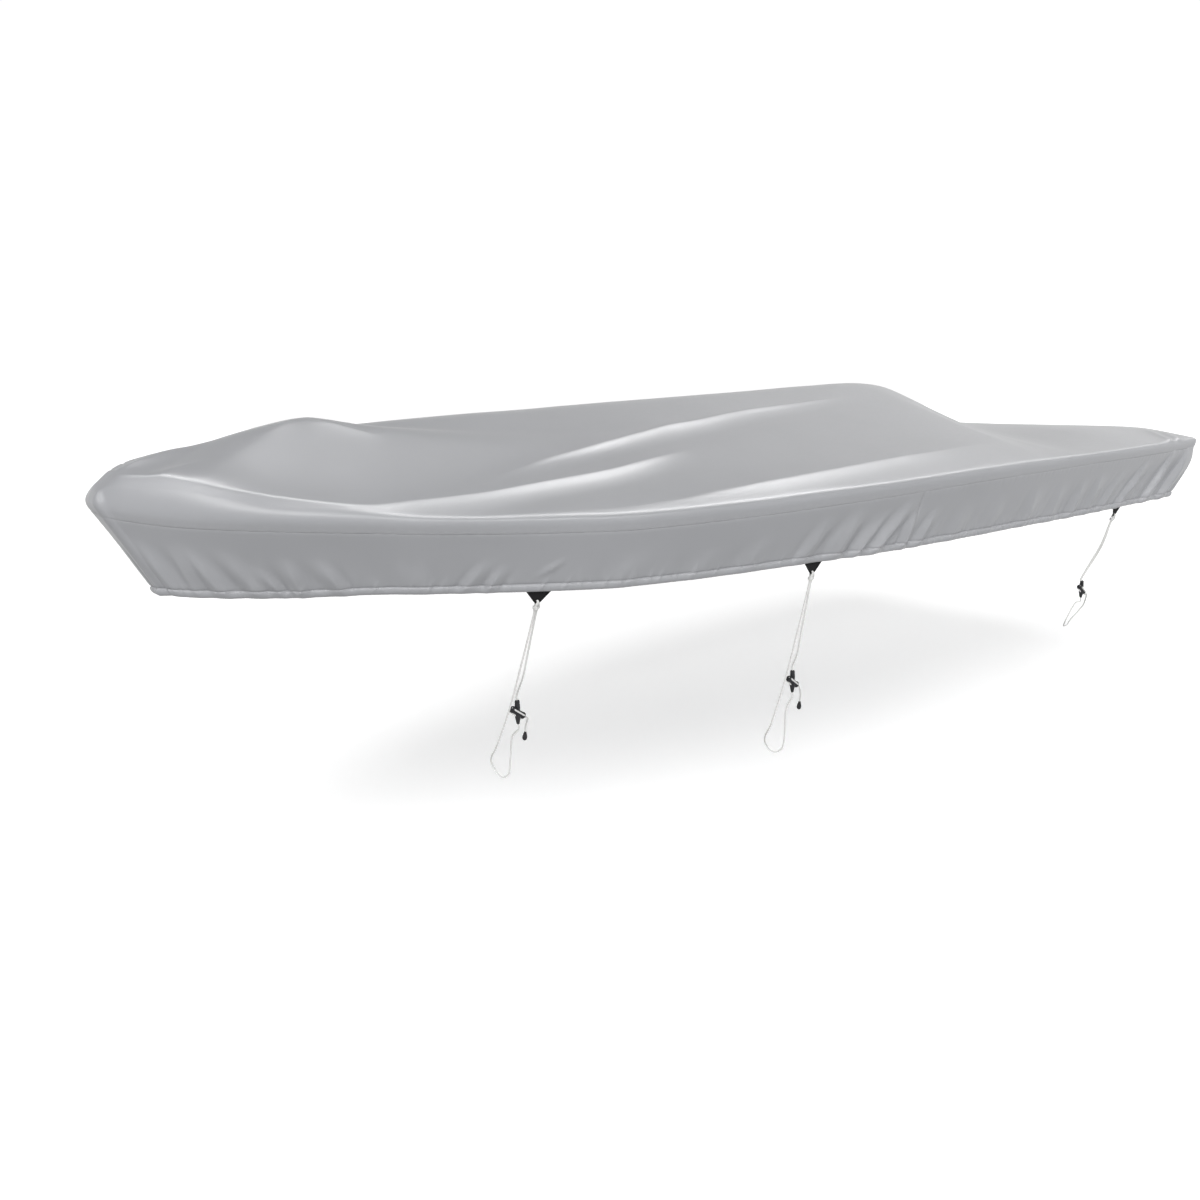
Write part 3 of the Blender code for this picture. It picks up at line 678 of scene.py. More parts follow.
def make_turns(tie):
    """The cord that is wound along the front of the barrel, twice, and round its ends."""
    centre = in_frame(TIES[tie]["cleat"])
    front = Vector((-0.45, -0.89, 0.0)).normalized()
    across = CLEAT_SLANT.cross(front).normalized()
    front = across.cross(CLEAT_SLANT)
    half = CLEAT_LENGTH / 2
    if across.z < 0:
        across = -across
    runs = []
    for lift, proud in ((0.0048, 0.0092), (-0.0108, 0.0040)):
        line = []
        for share in (-1.06, -0.98, -0.80, -0.45, 0.0, 0.45, 0.80, 0.98, 1.06):
            tuck = max(0.0, abs(share) - 0.80) * 0.035
            line.append(centre + CLEAT_SLANT * (half * share * 0.93) + across * lift
                        + front * (proud - tuck))
        runs.append(smooth_route(line, 0.003))
    return settle(tubes_object(f"{tie}_turns", runs, TURN_RADIUS, 10), "tie_cord")


locks = {tie: make_lock(tie) for tie in TIES}
turns = {tie: make_turns(tie) for tie in TIES}
print("locks:", [len(o.data.polygons) for o in locks.values()], "faces")

# %% [markdown]
# The toggle is a teardrop that hangs on the end of the tail. Its axis is the last stretch of the
# cord, so it hangs the way the cord does.

# %% Toggles
TOGGLE = ((0.0022, 0.0010), (0.0034, 0.0006), (0.0040, -0.0012), (0.0038, -0.0030),
          (0.0044, -0.0044), (0.0056, -0.0092), (0.0070, -0.0150), (0.0079, -0.0205),
          (0.0081, -0.0228), (0.0078, -0.0236), (0.0080, -0.0244), (0.0074, -0.0285),
          (0.0054, -0.0325), (0.0026, -0.0345), (0.0, -0.0348))


def make_toggle(tie):
    """The toggle at the end of a tie's tail."""
    points = cord_routes[f"{tie}_tail"]
    hang = (points[-2] - points[-1]).normalized()
    bm = bmesh.new()
    turned_mesh(bm, rounded_profile(TOGGLE), points[-1] - hang * CORD_GAP, hang)
    return finish_bmesh(f"{tie}_drop", bm, black_nylon, f"{tie}_toggle", "hard_plastic")


toggles = {tie: make_toggle(tie) for tie in TIES if "tail" in TIES[tie]["cords"]}
print("toggles:", list(toggles))

# %% [markdown]
# ## Knots
#
# At the tab the cord is hitched: two strands come up from a collar of two turns, meet at a hole
# near the tip of the webbing, and go through it. That gives the white diamond below each tab. The
# strands are tubes along short routes of their own, in a small frame that points up the tie.

# %% Knots
STRAND = ((0.0038, 0.0, -0.0040), (0.0052, -0.0010, 0.0010), (0.0080, -0.0030, 0.0080),
          (0.0066, -0.0046, 0.0150), (0.0034, -0.0052, 0.0230), (0.0010, -0.0048, 0.0290),
          (0.0004, -0.0020, 0.0315), (0.0002, 0.0030, 0.0300), (0.0002, 0.0046, 0.0240),
          (0.0008, 0.0042, 0.0150))
COLLAR_TURNS = 1.75
COLLAR_RADII = (0.0082, 0.0064)
COLLAR_RISE = (0.0035, 0.0115)


def knot_frame(tie):
    """The lower end of a knot and its across, outward and up directions."""
    ends, way = tie_sockets(tie)["knot"]
    middle = sum(ends.values(), Vector()) / len(ends)
    across = Vector((1.0, 0.0, 0.0))
    across = (across - way * across.dot(way)).normalized()
    return middle, across, -way.cross(across).normalized(), -way


def make_knot(tie):
    """The hitch that holds a tie to its tab."""
    middle, across, outward, upward = knot_frame(tie)
    if outward.y > 0:
        outward = -outward

    def place(x, y, z):
        return middle + across * x - outward * y + upward * z

    lines = [[place(side * x, y, z) for x, y, z in STRAND] for side in (-1, 1)]
    steps = 26
    low, high = COLLAR_RISE
    lines.append([place(math.cos(2 * math.pi * COLLAR_TURNS * i / steps) * COLLAR_RADII[0],
                        math.sin(2 * math.pi * COLLAR_TURNS * i / steps) * COLLAR_RADII[1],
                        low + (high - low) * i / steps) for i in range(steps + 1)])
    routes = [smooth_route(line, 0.002) for line in lines]
    return settle(tubes_object(f"{tie}_hitch", routes, CORD_RADIUS, 12), "tie_cord", f"{tie}_knot")


knots = {tie: make_knot(tie) for tie in TIES}
print("knots:", list(knots))

# %% [markdown]
# ## Declaring the cords
#
# Each cord is declared with its real length. The loops and legs start at a knot and end in the
# lock, and the tails start at the lock and end in a toggle.

def declare_cords(tie):
    """Says what each cord of a tie is."""
    for name, (_, end, _) in TIES[tie]["cords"].items():
        obj, route = cords[f"{tie}_{name}"]
        pieces = {"toggle": [toggles.get(tie)]}.get(end, [])
        if name == "loop":
            pieces = [locks[tie], turns[tie]]
        if name in ("leg", "leg_fore"):
            pieces = [knots[tie]]
        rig.cord(obj, exit=route[0], length=route_length(route), diameter=2 * CORD_RADIUS,
                far_end="fitting" if end == "toggle" else "object", stiffness="limp",
                lay="hanging" if end == "toggle" else "taut", path=route, with_pieces=pieces)


for tie in TIES:
    declare_cords(tie)
print("declared", len(cords), "cords,",
      round(sum(route_length(route) for _, route in cords.values()), 2), "m in all")

# %% [markdown]
# ## The shape of the cloth
#
# The whole cover is described by two short tables. The first gives a cross-section at some
# distances from the nose: half its beam, the height of its gunwale line and of its ridge, and
# where its hem lies. The second says how the cloth rises from the gunwale to the ridge: by a
# shoulder, which is strong at the bow and the stern and missing amidships, where the cloth is a
# straight tent. A curve with no overshoot runs through each column, so a table of a few rows
# never makes a wave that isn't in it. NumPy evaluates thousands of places in one call.

# %% Tables of the shape
SECTION_COLUMNS = ("along", "half", "gunwale", "ridge", "hem_along", "hem_half", "hem")
SECTIONS = (
    (0.016, 0.060, -0.192, -0.147, 0.166, 0.036, -0.450),
    (0.060, 0.098, -0.202, -0.114, 0.194, 0.052, -0.456),
    (0.120, 0.146, -0.214, -0.092, 0.238, 0.078, -0.462),
    (0.250, 0.229, -0.231, -0.068, 0.343, 0.132, -0.472),
    (0.400, 0.304, -0.246, -0.047, 0.470, 0.194, -0.481),
    (0.550, 0.373, -0.259, -0.037, 0.597, 0.256, -0.485),
    (0.620, 0.404, -0.265, -0.036, 0.660, 0.290, -0.488),
    (0.710, 0.447, -0.273, -0.034, 0.740, 0.338, -0.493),
    (0.780, 0.475, -0.278, -0.031, 0.803, 0.366, -0.497),
    (1.050, 0.577, -0.293, -0.023, 1.056, 0.488, -0.511),
    (1.300, 0.653, -0.304, -0.018, 1.300, 0.566, -0.524),
    (1.600, 0.729, -0.301, -0.011, 1.600, 0.643, -0.526),
    (2.000, 0.806, -0.291, -0.004, 2.000, 0.721, -0.524),
    (2.260, 0.840, -0.285, 0.001, 2.260, 0.756, -0.527),
    (2.800, 0.884, -0.273, 0.016, 2.800, 0.800, -0.526),
    (3.050, 0.894, -0.271, 0.020, 3.050, 0.810, -0.526),
    (3.200, 0.896, -0.271, 0.011, 3.198, 0.811, -0.528),
    (3.300, 0.897, -0.270, -0.006, 3.297, 0.812, -0.530),
    (3.400, 0.898, -0.270, -0.080, 3.395, 0.813, -0.531),
    (3.520, 0.899, -0.270, -0.146, 3.512, 0.814, -0.532),
    (3.650, 0.900, -0.271, -0.170, 3.636, 0.815, -0.533),
    (3.800, 0.900, -0.272, -0.183, 3.780, 0.815, -0.534),
    (4.000, 0.898, -0.273, -0.198, 3.970, 0.813, -0.535),
    (4.200, 0.893, -0.274, -0.214, 4.158, 0.808, -0.537),
    (4.470, 0.886, -0.273, -0.236, 4.416, 0.802, -0.540),
)
SHOULDER_COLUMNS = ("along", "inboard", "rise")
SHOULDERS = (
    (0.016, 0.34, 0.76), (0.120, 0.32, 0.64), (0.250, 0.30, 0.45), (0.400, 0.28, 0.28),
    (2.800, 0.50, 0.50), (3.100, 0.50, 0.47), (3.300, 0.50, 0.32), (3.400, 0.49, 0.34),
    (3.520, 0.44, 0.48), (3.650, 0.38, 0.64), (3.900, 0.34, 0.94), (4.200, 0.32, 1.12),
    (4.470, 0.28, 1.46),
)
FIRST, LAST = SECTIONS[0][0], SECTIONS[-1][0]
ROLL = 0.026
ROLL_DROP = 0.008
NOSE_LIFT = 0.012
CROWN_RADIUS = 0.05
KNEE_WIDTH = 0.12
SKIRT_SEAM = 2.395
CLOTH_THICK = 0.0014


def column(table, columns, name, along):
    """A column of a table at some distances from the nose, on a curve with no overshoot."""
    rows = np.array(table)
    xs, ys = rows[:, 0], rows[:, columns.index(name)]
    rises = np.diff(ys) / np.diff(xs)
    slopes = np.concatenate(([rises[0]], np.zeros(len(xs) - 2), [rises[-1]]))
    product, total = rises[:-1] * rises[1:], rises[:-1] + rises[1:]
    same = product > 0
    slopes[1:-1][same] = 2 * product[same] / total[same]
    place = np.clip(along, xs[0], xs[-1])
    i = np.clip(np.searchsorted(xs, place, side="right") - 1, 0, len(xs) - 2)
    width = xs[i + 1] - xs[i]
    t = (place - xs[i]) / width
    return ((2 * t**3 - 3 * t**2 + 1) * ys[i] + (t**3 - 2 * t**2 + t) * width * slopes[i]
            + (3 * t**2 - 2 * t**3) * ys[i + 1] + (t**3 - t**2) * width * slopes[i + 1])


def section(name, along):
    """A column of the section table."""
    return column(SECTIONS, SECTION_COLUMNS, name, along)


print("half-beam at 1 m steps:", np.round(section("half", np.arange(0.5, 4.6, 1.0)), 3))

# %% [markdown]
# The tent between gunwale and ridge is a straight line that is bent at the shoulder and rounded
# at the crown. `soft_step` is a corner with a radius: far from it the line is straight, and
# within its width the two slopes blend.

# %% The tented top
def soft_step(value, width):
    """max(value, 0) with its corner rounded over the given width."""
    return 0.5 * (value + np.sqrt(value * value + width * width))


def tent_shape(along, inboard):
    """How the cloth rises from the gunwale inwards, before it is fitted to the ridge."""
    knee = column(SHOULDERS, SHOULDER_COLUMNS, "inboard", along)
    rise = column(SHOULDERS, SHOULDER_COLUMNS, "rise", along)
    outer = rise / knee
    inner = (1.0 - rise) / (1.0 - knee)
    bend = soft_step(inboard - knee, KNEE_WIDTH) - soft_step(-knee, KNEE_WIDTH)
    crown = soft_step(inboard - 1.0, CROWN_RADIUS) - soft_step(-1.0, CROWN_RADIUS)
    return outer * inboard + (inner - outer) * bend - 2.0 * inner * crown


def tent_rise(along, inboard):
    """Part of the rise from gunwale (0) to ridge (1) at a part of the half-beam, inboard."""
    return tent_shape(along, inboard) / tent_shape(along, 1.0)


print("rise half-way in, at 0.2 m and 2 m:", tent_rise(np.array([0.2, 2.0]), 0.5).round(3))

# %% [markdown]
# ## The peak at the bow
#
# Near the bow something under the cloth props it up in a small peak. The cloth runs up to it from
# the nose, spreads aft from it as two edges, and drops behind it. It is made as three soft steps
# multiplied together: one up, one down and one that fades it out sideways.

# %% The peak
PEAK_HEIGHT = 0.031
PEAK_FRONT = 0.575
PEAK_BACK = 0.590
PEAK_RUN = 0.24
PEAK_DROP = (0.070, 1.9)
PEAK_REACH = 0.34
PEAK_SPREAD = (2.4, 1.9)


def ease(value):
    """A soft step from 0 to 1."""
    t = np.clip(value, 0.0, 1.0)
    return t * t * (3.0 - 2.0 * t)


def peak_height(along, across):
    """Height that the peak adds to the top panel. across is in metres."""
    off = np.abs(across)
    front = PEAK_FRONT - PEAK_SPREAD[0] * off
    back = PEAK_BACK + PEAK_SPREAD[1] * off
    share = (along - front + PEAK_RUN) / PEAK_RUN
    up = soft_step(share, 0.12) - soft_step(share - 1.0, 0.12)
    down = 1.0 - ease((along - back) / (PEAK_DROP[0] + PEAK_DROP[1] * off))
    side = np.clip(1.0 - off / PEAK_REACH, 0.0, 1.0) ** 1.4
    return PEAK_HEIGHT * up * down * side


print("peak:", peak_height(np.array([0.4, 0.58, 0.7]), 0.0).round(4))

# %% [markdown]
# ## Creases
#
# Taut cloth shows long creases where it is pulled between two points. A crease is not a groove.
# It is a long gentle rise to a sharp crest and a short steep drop behind it, and the crest is
# what catches the light. Each crease is a line over the top with its height and the width of
# its two flanks, all of which change along it. A point of the cloth is lifted by its signed
# distance to the line.

# %% Creases of the top
# Each row: along, inboard, height, and the widths of the left and the right flank.
CREASES = {
    "shoulder": (
        (0.058, 0.70, 0.004, 0.022, 0.022), (0.066, 0.50, 0.008, 0.024, 0.022),
        (0.095, 0.385, 0.010, 0.028, 0.022), (0.140, 0.314, 0.012, 0.036, 0.022),
        (0.194, 0.238, 0.014, 0.048, 0.020), (0.279, 0.185, 0.017, 0.065, 0.019),
        (0.368, 0.158, 0.018, 0.080, 0.020), (0.500, 0.112, 0.016, 0.090, 0.022),
        (0.600, 0.112, 0.011, 0.090, 0.028), (0.715, 0.163, 0.009, 0.080, 0.026),
        (0.923, 0.222, 0.009, 0.080, 0.022), (1.056, 0.268, 0.011, 0.080, 0.021),
        (1.195, 0.311, 0.012, 0.080, 0.021), (1.354, 0.348, 0.012, 0.080, 0.023),
        (1.557, 0.412, 0.009, 0.070, 0.026), (1.740, 0.470, 0.000, 0.060, 0.028)),
    "nose_edge": (
        (0.062, 0.70, 0.004, 0.018, 0.016), (0.080, 0.735, 0.007, 0.018, 0.015),
        (0.125, 0.819, 0.008, 0.018, 0.015), (0.160, 0.877, 0.006, 0.018, 0.016),
        (0.260, 1.05, 0.000, 0.020, 0.024)),
    "nose_spur": (
        (0.135, 0.320, 0.000, 0.018, 0.012), (0.160, 0.375, 0.003, 0.018, 0.012),
        (0.184, 0.442, 0.004, 0.018, 0.012), (0.234, 0.549, 0.003, 0.018, 0.014),
        (0.290, 0.640, 0.000, 0.018, 0.014)),
    "peak_edge": (
        (0.561, 0.975, 0.000, 0.010, 0.022), (0.611, 0.920, 0.005, 0.010, 0.022),
        (0.655, 0.880, 0.006, 0.010, 0.024), (0.705, 0.815, 0.005, 0.010, 0.026),
        (0.780, 0.740, 0.000, 0.012, 0.026)),
    "peak_front": (
        (0.430, 0.850, 0.000, 0.016, 0.016), (0.482, 0.893, 0.002, 0.014, 0.016),
        (0.516, 0.916, 0.003, 0.012, 0.016), (0.575, 0.975, 0.000, 0.012, 0.016)),
    "high_fold": (
        (0.930, 0.320, 0.000, 0.050, 0.022), (1.175, 0.472, 0.006, 0.060, 0.020),
        (1.314, 0.524, 0.009, 0.070, 0.020), (1.473, 0.572, 0.013, 0.080, 0.022),
        (1.725, 0.650, 0.016, 0.090, 0.025), (1.918, 0.684, 0.016, 0.090, 0.025),
        (2.141, 0.730, 0.014, 0.085, 0.025), (2.379, 0.753, 0.012, 0.080, 0.024),
        (2.691, 0.785, 0.007, 0.070, 0.024), (2.860, 0.800, 0.000, 0.060, 0.024)),
    "low_fold": (
        (0.860, 0.040, 0.000, 0.050, 0.040), (1.071, 0.057, 0.003, 0.060, 0.040),
        (1.388, 0.078, 0.006, 0.080, 0.042), (1.676, 0.114, 0.012, 0.090, 0.044),
        (1.993, 0.137, 0.016, 0.100, 0.048), (2.384, 0.167, 0.016, 0.110, 0.054),
        (2.597, 0.176, 0.013, 0.110, 0.060), (2.914, 0.197, 0.006, 0.100, 0.070),
        (3.150, 0.215, 0.000, 0.100, 0.070)),
    "stern_tuck_1": (
        (4.420, 0.260, 0.000, 0.012, 0.026), (4.336, 0.180, 0.007, 0.012, 0.026),
        (4.257, 0.093, 0.009, 0.012, 0.026), (4.200, 0.000, 0.009, 0.012, 0.026)),
    "stern_tuck_2": (
        (4.440, 0.200, 0.000, 0.012, 0.024), (4.380, 0.120, 0.007, 0.012, 0.024),
        (4.330, 0.060, 0.009, 0.012, 0.024), (4.300, 0.000, 0.009, 0.012, 0.024)),
}
CREST_ROUND = 0.005
TROUGH = 0.10
TROUGH_PLACE, TROUGH_WIDTH = 3.0, 1.3
STARBOARD_HEIGHT = 0.85
STARBOARD_STRETCH = (0.985, 0.035)


def crest(offset, left, right):
    """A crease across its width: 1 on the crest, with flanks of two widths and a low trough."""
    width = np.where(offset > 0, left, right)
    peak = np.exp((CREST_ROUND - np.sqrt(offset * offset + CREST_ROUND**2)) / width)
    short = np.minimum(left, right)
    beside = offset + np.sign(left - right) * TROUGH_PLACE * short
    trough = np.exp(-(beside / (TROUGH_WIDTH * short)) ** 2)
    return peak - TROUGH * trough


def smooth_rows(rows, steps=6):
    """More rows on a smooth curve through the rows of a table."""
    rows = np.array(rows, float)
    ends = np.vstack([2 * rows[0] - rows[1], rows, 2 * rows[-1] - rows[-2]])
    t = np.arange(steps)[:, None] / steps
    out = []
    for a, b, c, d in zip(ends, ends[1:], ends[2:], ends[3:]):
        out.append(curve_point(a, b, c, d, t))
    return np.vstack([*out, rows[-1:]])


def crease_line(rows, side):
    """A crease as rows of along, across in metres, height, left and right width."""
    line = smooth_rows(rows)
    line[:, 2] = np.maximum(line[:, 2], 0.0)
    line[:, 1] = (line[:, 1] - 1.0) * section("half", line[:, 0])
    if side > 0:
        line[:, 1] *= -1.0
        line[:, 0] = line[:, 0] * STARBOARD_STRETCH[0] + STARBOARD_STRETCH[1]
        line[:, 2] *= STARBOARD_HEIGHT
        line[:, [3, 4]] = line[:, [4, 3]]
    return line


def crease_height(along, across):
    """Height that the creases add at points given by distance from the nose and Y."""
    total = np.zeros(along.size)
    spots = np.stack([along.ravel(), across.ravel()], axis=-1)
    for line in crease_lines:
        low, high = line[:, :2].min(axis=0) - 0.4, line[:, :2].max(axis=0) + 0.4
        near = np.nonzero(np.all((spots > low) & (spots < high), axis=1))[0]
        if not len(near):
            continue
        ways = np.diff(line[:, :2], axis=0)
        reach = spots[near, None, :] - line[None, :-1, :2]
        share = np.clip((reach * ways).sum(-1) / (ways * ways).sum(-1), 0.0, 1.0)
        gap = np.linalg.norm(reach - ways * share[..., None], axis=-1)
        best = gap.argmin(axis=1)
        pick = np.arange(len(near))
        turn = ways[best, 0] * reach[pick, best, 1] - ways[best, 1] * reach[pick, best, 0]
        t = share[pick, best][:, None]
        height, left, right = (line[best] * (1 - t) + line[best + 1] * t)[:, 2:].T
        total[near] += height * crest(gap[pick, best] * np.sign(turn), left, right)
    return total.reshape(along.shape)


crease_lines = [crease_line(rows, side) for side in (-1, 1) for name, rows in CREASES.items()
                if side < 0 or not name.startswith("nose_")]


def soft_noise(points, scale, seed):
    """Smooth noise from -1 to 1 at an array of points, with features of about scale metres."""
    shift = Vector((seed * 7.31, seed * 3.77, seed * 1.93))
    return np.array([noise.noise(Vector(p) / scale + shift) for p in points])


print("creases:", ", ".join(CREASES))

# %% [markdown]
# Between the creases the cloth is never quite flat. Two sizes of smooth noise give it the slow
# unevenness of a sheet that was packed and pulled on by hand.

# %% Points of the top panel
UNEVEN = ((0.42, 0.0022, 1), (0.13, 0.0007, 2))


def top_points(along, across):
    """Points of the top panel. across is Y as a part of the half-beam, -1 to 1."""
    along, across = np.broadcast_arrays(np.asarray(along, float), np.asarray(across, float))
    half, gunwale = section("half", along), section("gunwale", along)
    inboard = 1.0 - np.abs(across)
    z = gunwale + (section("ridge", along) - gunwale) * tent_rise(along, inboard)
    z = z + peak_height(along, across * half)
    fade = np.minimum(1.0, inboard * half / ROLL)
    z = z + crease_height(along, across * half) * fade
    points = np.stack([along - MIDLENGTH, across * half, z], axis=-1)
    flat = points.reshape(-1, 3)
    for scale, height, seed in UNEVEN:
        flat[:, 2] += soft_noise(flat, scale, seed) * height * fade.reshape(-1)
    return points


print("middle of the top:", top_points(MIDLENGTH, 0.0).round(4))

# %% [markdown]
# ## The rim
#
# All round the plan the top rolls over the gunwale line into the skirt. The rim is a list of
# columns, each with the place where the roll starts, the sharp corner it would have, and the hem
# far below. The top's roll and all four skirts are built from it, so they meet exactly. Along the
# sides the columns follow the sections; across the nose and the transom they follow the end
# rows; and a quarter circle of columns turns each corner.

# %% Columns of the rim
def rim_side(along, side):
    """Roll start, corner and hem of some sections, on one side."""
    half = section("half", along)
    edge = np.full_like(along, side)
    corner = np.stack([along - MIDLENGTH, edge * half, section("gunwale", along)], axis=-1)
    start = top_points(along, side * (1.0 - ROLL / half))
    hem = np.stack([section("hem_along", along) - MIDLENGTH, edge * section("hem_half", along),
                    section("hem", along)], axis=-1)
    return start, corner, hem


def rim_end(start, bow):
    """The same for points of the first or last cross-row, where the cloth rolls over the end."""
    along = FIRST if bow else LAST
    corner = start.copy()
    corner[:, 0] += -ROLL if bow else ROLL
    if bow:
        corner[:, 2] = section("gunwale", along) + NOSE_LIFT
    else:
        corner[:, 2] -= 0.004
    hem = np.empty_like(start)
    hem[:, 0] = section("hem_along", along) - MIDLENGTH + (-ROLL if bow else ROLL)
    hem[:, 1] = start[:, 1] * section("hem_half", along) / section("half", along)
    hem[:, 2] = section("hem", along)
    return start, corner, hem


def rim_arc(start, side, bow, steps):
    """The rim round one corner of the plan, from the side towards the end."""
    _, side_corner, side_hem = rim_side(np.array([FIRST if bow else LAST]), side)
    _, end_corner, end_hem = rim_end(start[None, :], bow)
    share = np.arange(1, steps) / steps
    turned = share * math.pi / 2
    reach = np.stack([np.sin(turned) * (-1 if bow else 1), np.cos(turned) * side,
                      np.zeros_like(turned)], axis=-1) * ROLL
    corner = start + reach
    corner[:, 2] = side_corner[0, 2] * (1 - share) + end_corner[0, 2] * share
    hem = side_hem * (1 - share[:, None]) + end_hem * share[:, None]
    return np.repeat(start[None, :], steps - 1, axis=0), corner, hem


def rim_loop(places, end_shares, arc_steps):
    """The whole rim, from the port stern corner forward round the bow and back again."""
    halves = 1.0 - ROLL / section("half", np.array([FIRST, LAST]))
    first = top_points(FIRST, end_shares * halves[0])
    last = top_points(LAST, end_shares * halves[1])

    def backwards_in(parts):
        return tuple(a[::-1] for a in parts)

    stretches = [
        rim_side(places[::-1], -1),
        rim_arc(first[0], -1, True, arc_steps), rim_end(first, True),
        backwards_in(rim_arc(first[-1], 1, True, arc_steps)),
        rim_side(places, 1),
        rim_arc(last[-1], 1, False, arc_steps), rim_end(last[::-1], False),
        backwards_in(rim_arc(last[0], -1, False, arc_steps)),
    ]
    counts = [len(s[0]) for s in stretches]
    start, corner, hem = (np.concatenate([s[k] for s in stretches]) for k in range(3))
    return start, corner, hem, counts


def unit(vectors):
    """Vectors of length 1."""
    return vectors / np.linalg.norm(vectors, axis=-1, keepdims=True)


def roll_points(start, corner, hem, share):
    """Points of the roll over the gunwale line, 0 at the top panel and 1 at its lower end."""
    end = corner + unit(hem - corner) * ROLL
    return start * (1 - share) ** 2 + corner * 2 * share * (1 - share) + end * share**2


def seam_line(corner, hem):
    """The lower end of the strip below the roll, where the skirt is sewn on."""
    return corner + unit(hem - corner) * (ROLL + ROLL_DROP)


def facing_out(line, hem):
    """Level directions in which the skirt faces, for a closed line of columns."""
    facing = np.cross(np.roll(line, -1, axis=0) - np.roll(line, 1, axis=0), hem - line)
    facing[:, 2] = 0.0
    facing = unit(facing)
    outside = np.sum(facing * (line - line.mean(axis=0)), axis=-1)
    return facing * np.sign(np.median(outside))


print("rim helpers ready")

# %% [markdown]
# ## Making a sheet
#
# Every cloth piece is a grid of quads with a UV map in metres, which the weave follows, and a
# vertex attribute that says how close the cloth is to a sewn edge, which its wear and its painted
# light follow. The Solidify modifier then gives it the thickness of the cloth, inwards.

# %% Sheet helper
def grid_faces(rows, closed=False):
    """Quads between rows of vertex numbers, wound so that they face the same way. A number that
    repeats gives a triangle."""
    faces = []
    for upper, lower in zip(rows, rows[1:]):
        count = len(upper)
        for i in range(count if closed else count - 1):
            k = (i + 1) % count
            ring = []
            for v in (upper[i], lower[i], lower[k], upper[k]):
                if v not in ring:
                    ring.append(int(v))
            if len(ring) > 2:
                faces.append(ring)
    return faces


def sheet_object(name, points, faces, places, sewn, material):
    """A cloth piece with its UV map, its sewn-edge attribute and its thickness."""
    mesh = bpy.data.meshes.new(name)
    mesh.from_pydata([tuple(p) for p in points], [], faces)
    layer = mesh.uv_layers.new(name="weave")
    loops = np.empty(len(mesh.loops), dtype=np.int32)
    mesh.loops.foreach_get("vertex_index", loops)
    layer.data.foreach_set("uv", places[loops].reshape(-1))
    attribute = mesh.attributes.new("sewn", "FLOAT", "POINT")
    attribute.data.foreach_set("value", np.asarray(sewn, dtype=np.float32))
    obj = link_object(name, mesh, material)
    solid = obj.modifiers.new("thickness", "SOLIDIFY")
    solid.thickness = CLOTH_THICK
    solid.offset = -1.0
    return obj


def turn_outwards(obj, outside):
    """Makes a sheet's faces agree, and flips them if they face away from a given direction."""
    mesh = obj.data
    bm = bmesh.new()
    bm.from_mesh(mesh)
    bmesh.ops.recalc_face_normals(bm, faces=bm.faces)
    bm.to_mesh(mesh)
    bm.free()
    normals = np.empty(len(mesh.polygons) * 3)
    mesh.polygons.foreach_get("normal", normals)
    total = normals.reshape(-1, 3).sum(axis=0)
    if float(np.dot(total, outside)) < 0:
        mesh.flip_normals()


print("sheet helper ready")

# %% [markdown]
# ## The coated cloth
#
# The cloth is a silver-grey polyester with a coating: satin, almost smooth, with a soft sheen and
# a plain weave that shows only close up. Four things make it read as cloth. The colour wanders a
# little, the roughness wanders with it, the weave is a fine height pattern on the UV map, and
# near sewn edges the colour is mixed towards a lighter grey. That lighter grey is partly wear and
# a little dust, and partly painted light, which makes the turned-up hem and the seams look lit.

# %% Cloth material
CLOTH_COLOUR = (0.268, 0.272, 0.285)
CLOTH_LIGHT = (0.286, 0.290, 0.304)
# Lighter grey for sewn edges: partly wear and dust, partly painted light.
WEAR_AND_LIGHT_COLOUR = (0.395, 0.397, 0.412)
CLOTH_ROUGHNESS = 0.34
WEAVE_PITCH = 0.0011


def weave_height(tree):
    """Height of a plain weave: warp and weft pass over each other in turn."""
    waves = [math_node(tree, "SINE", math_node(tree, "MULTIPLY", axis, math.pi / WEAVE_PITCH))
             for axis in uv_axes(tree, "weave")]
    return math_node(tree, "ABSOLUTE", math_node(tree, "MULTIPLY", *waves))


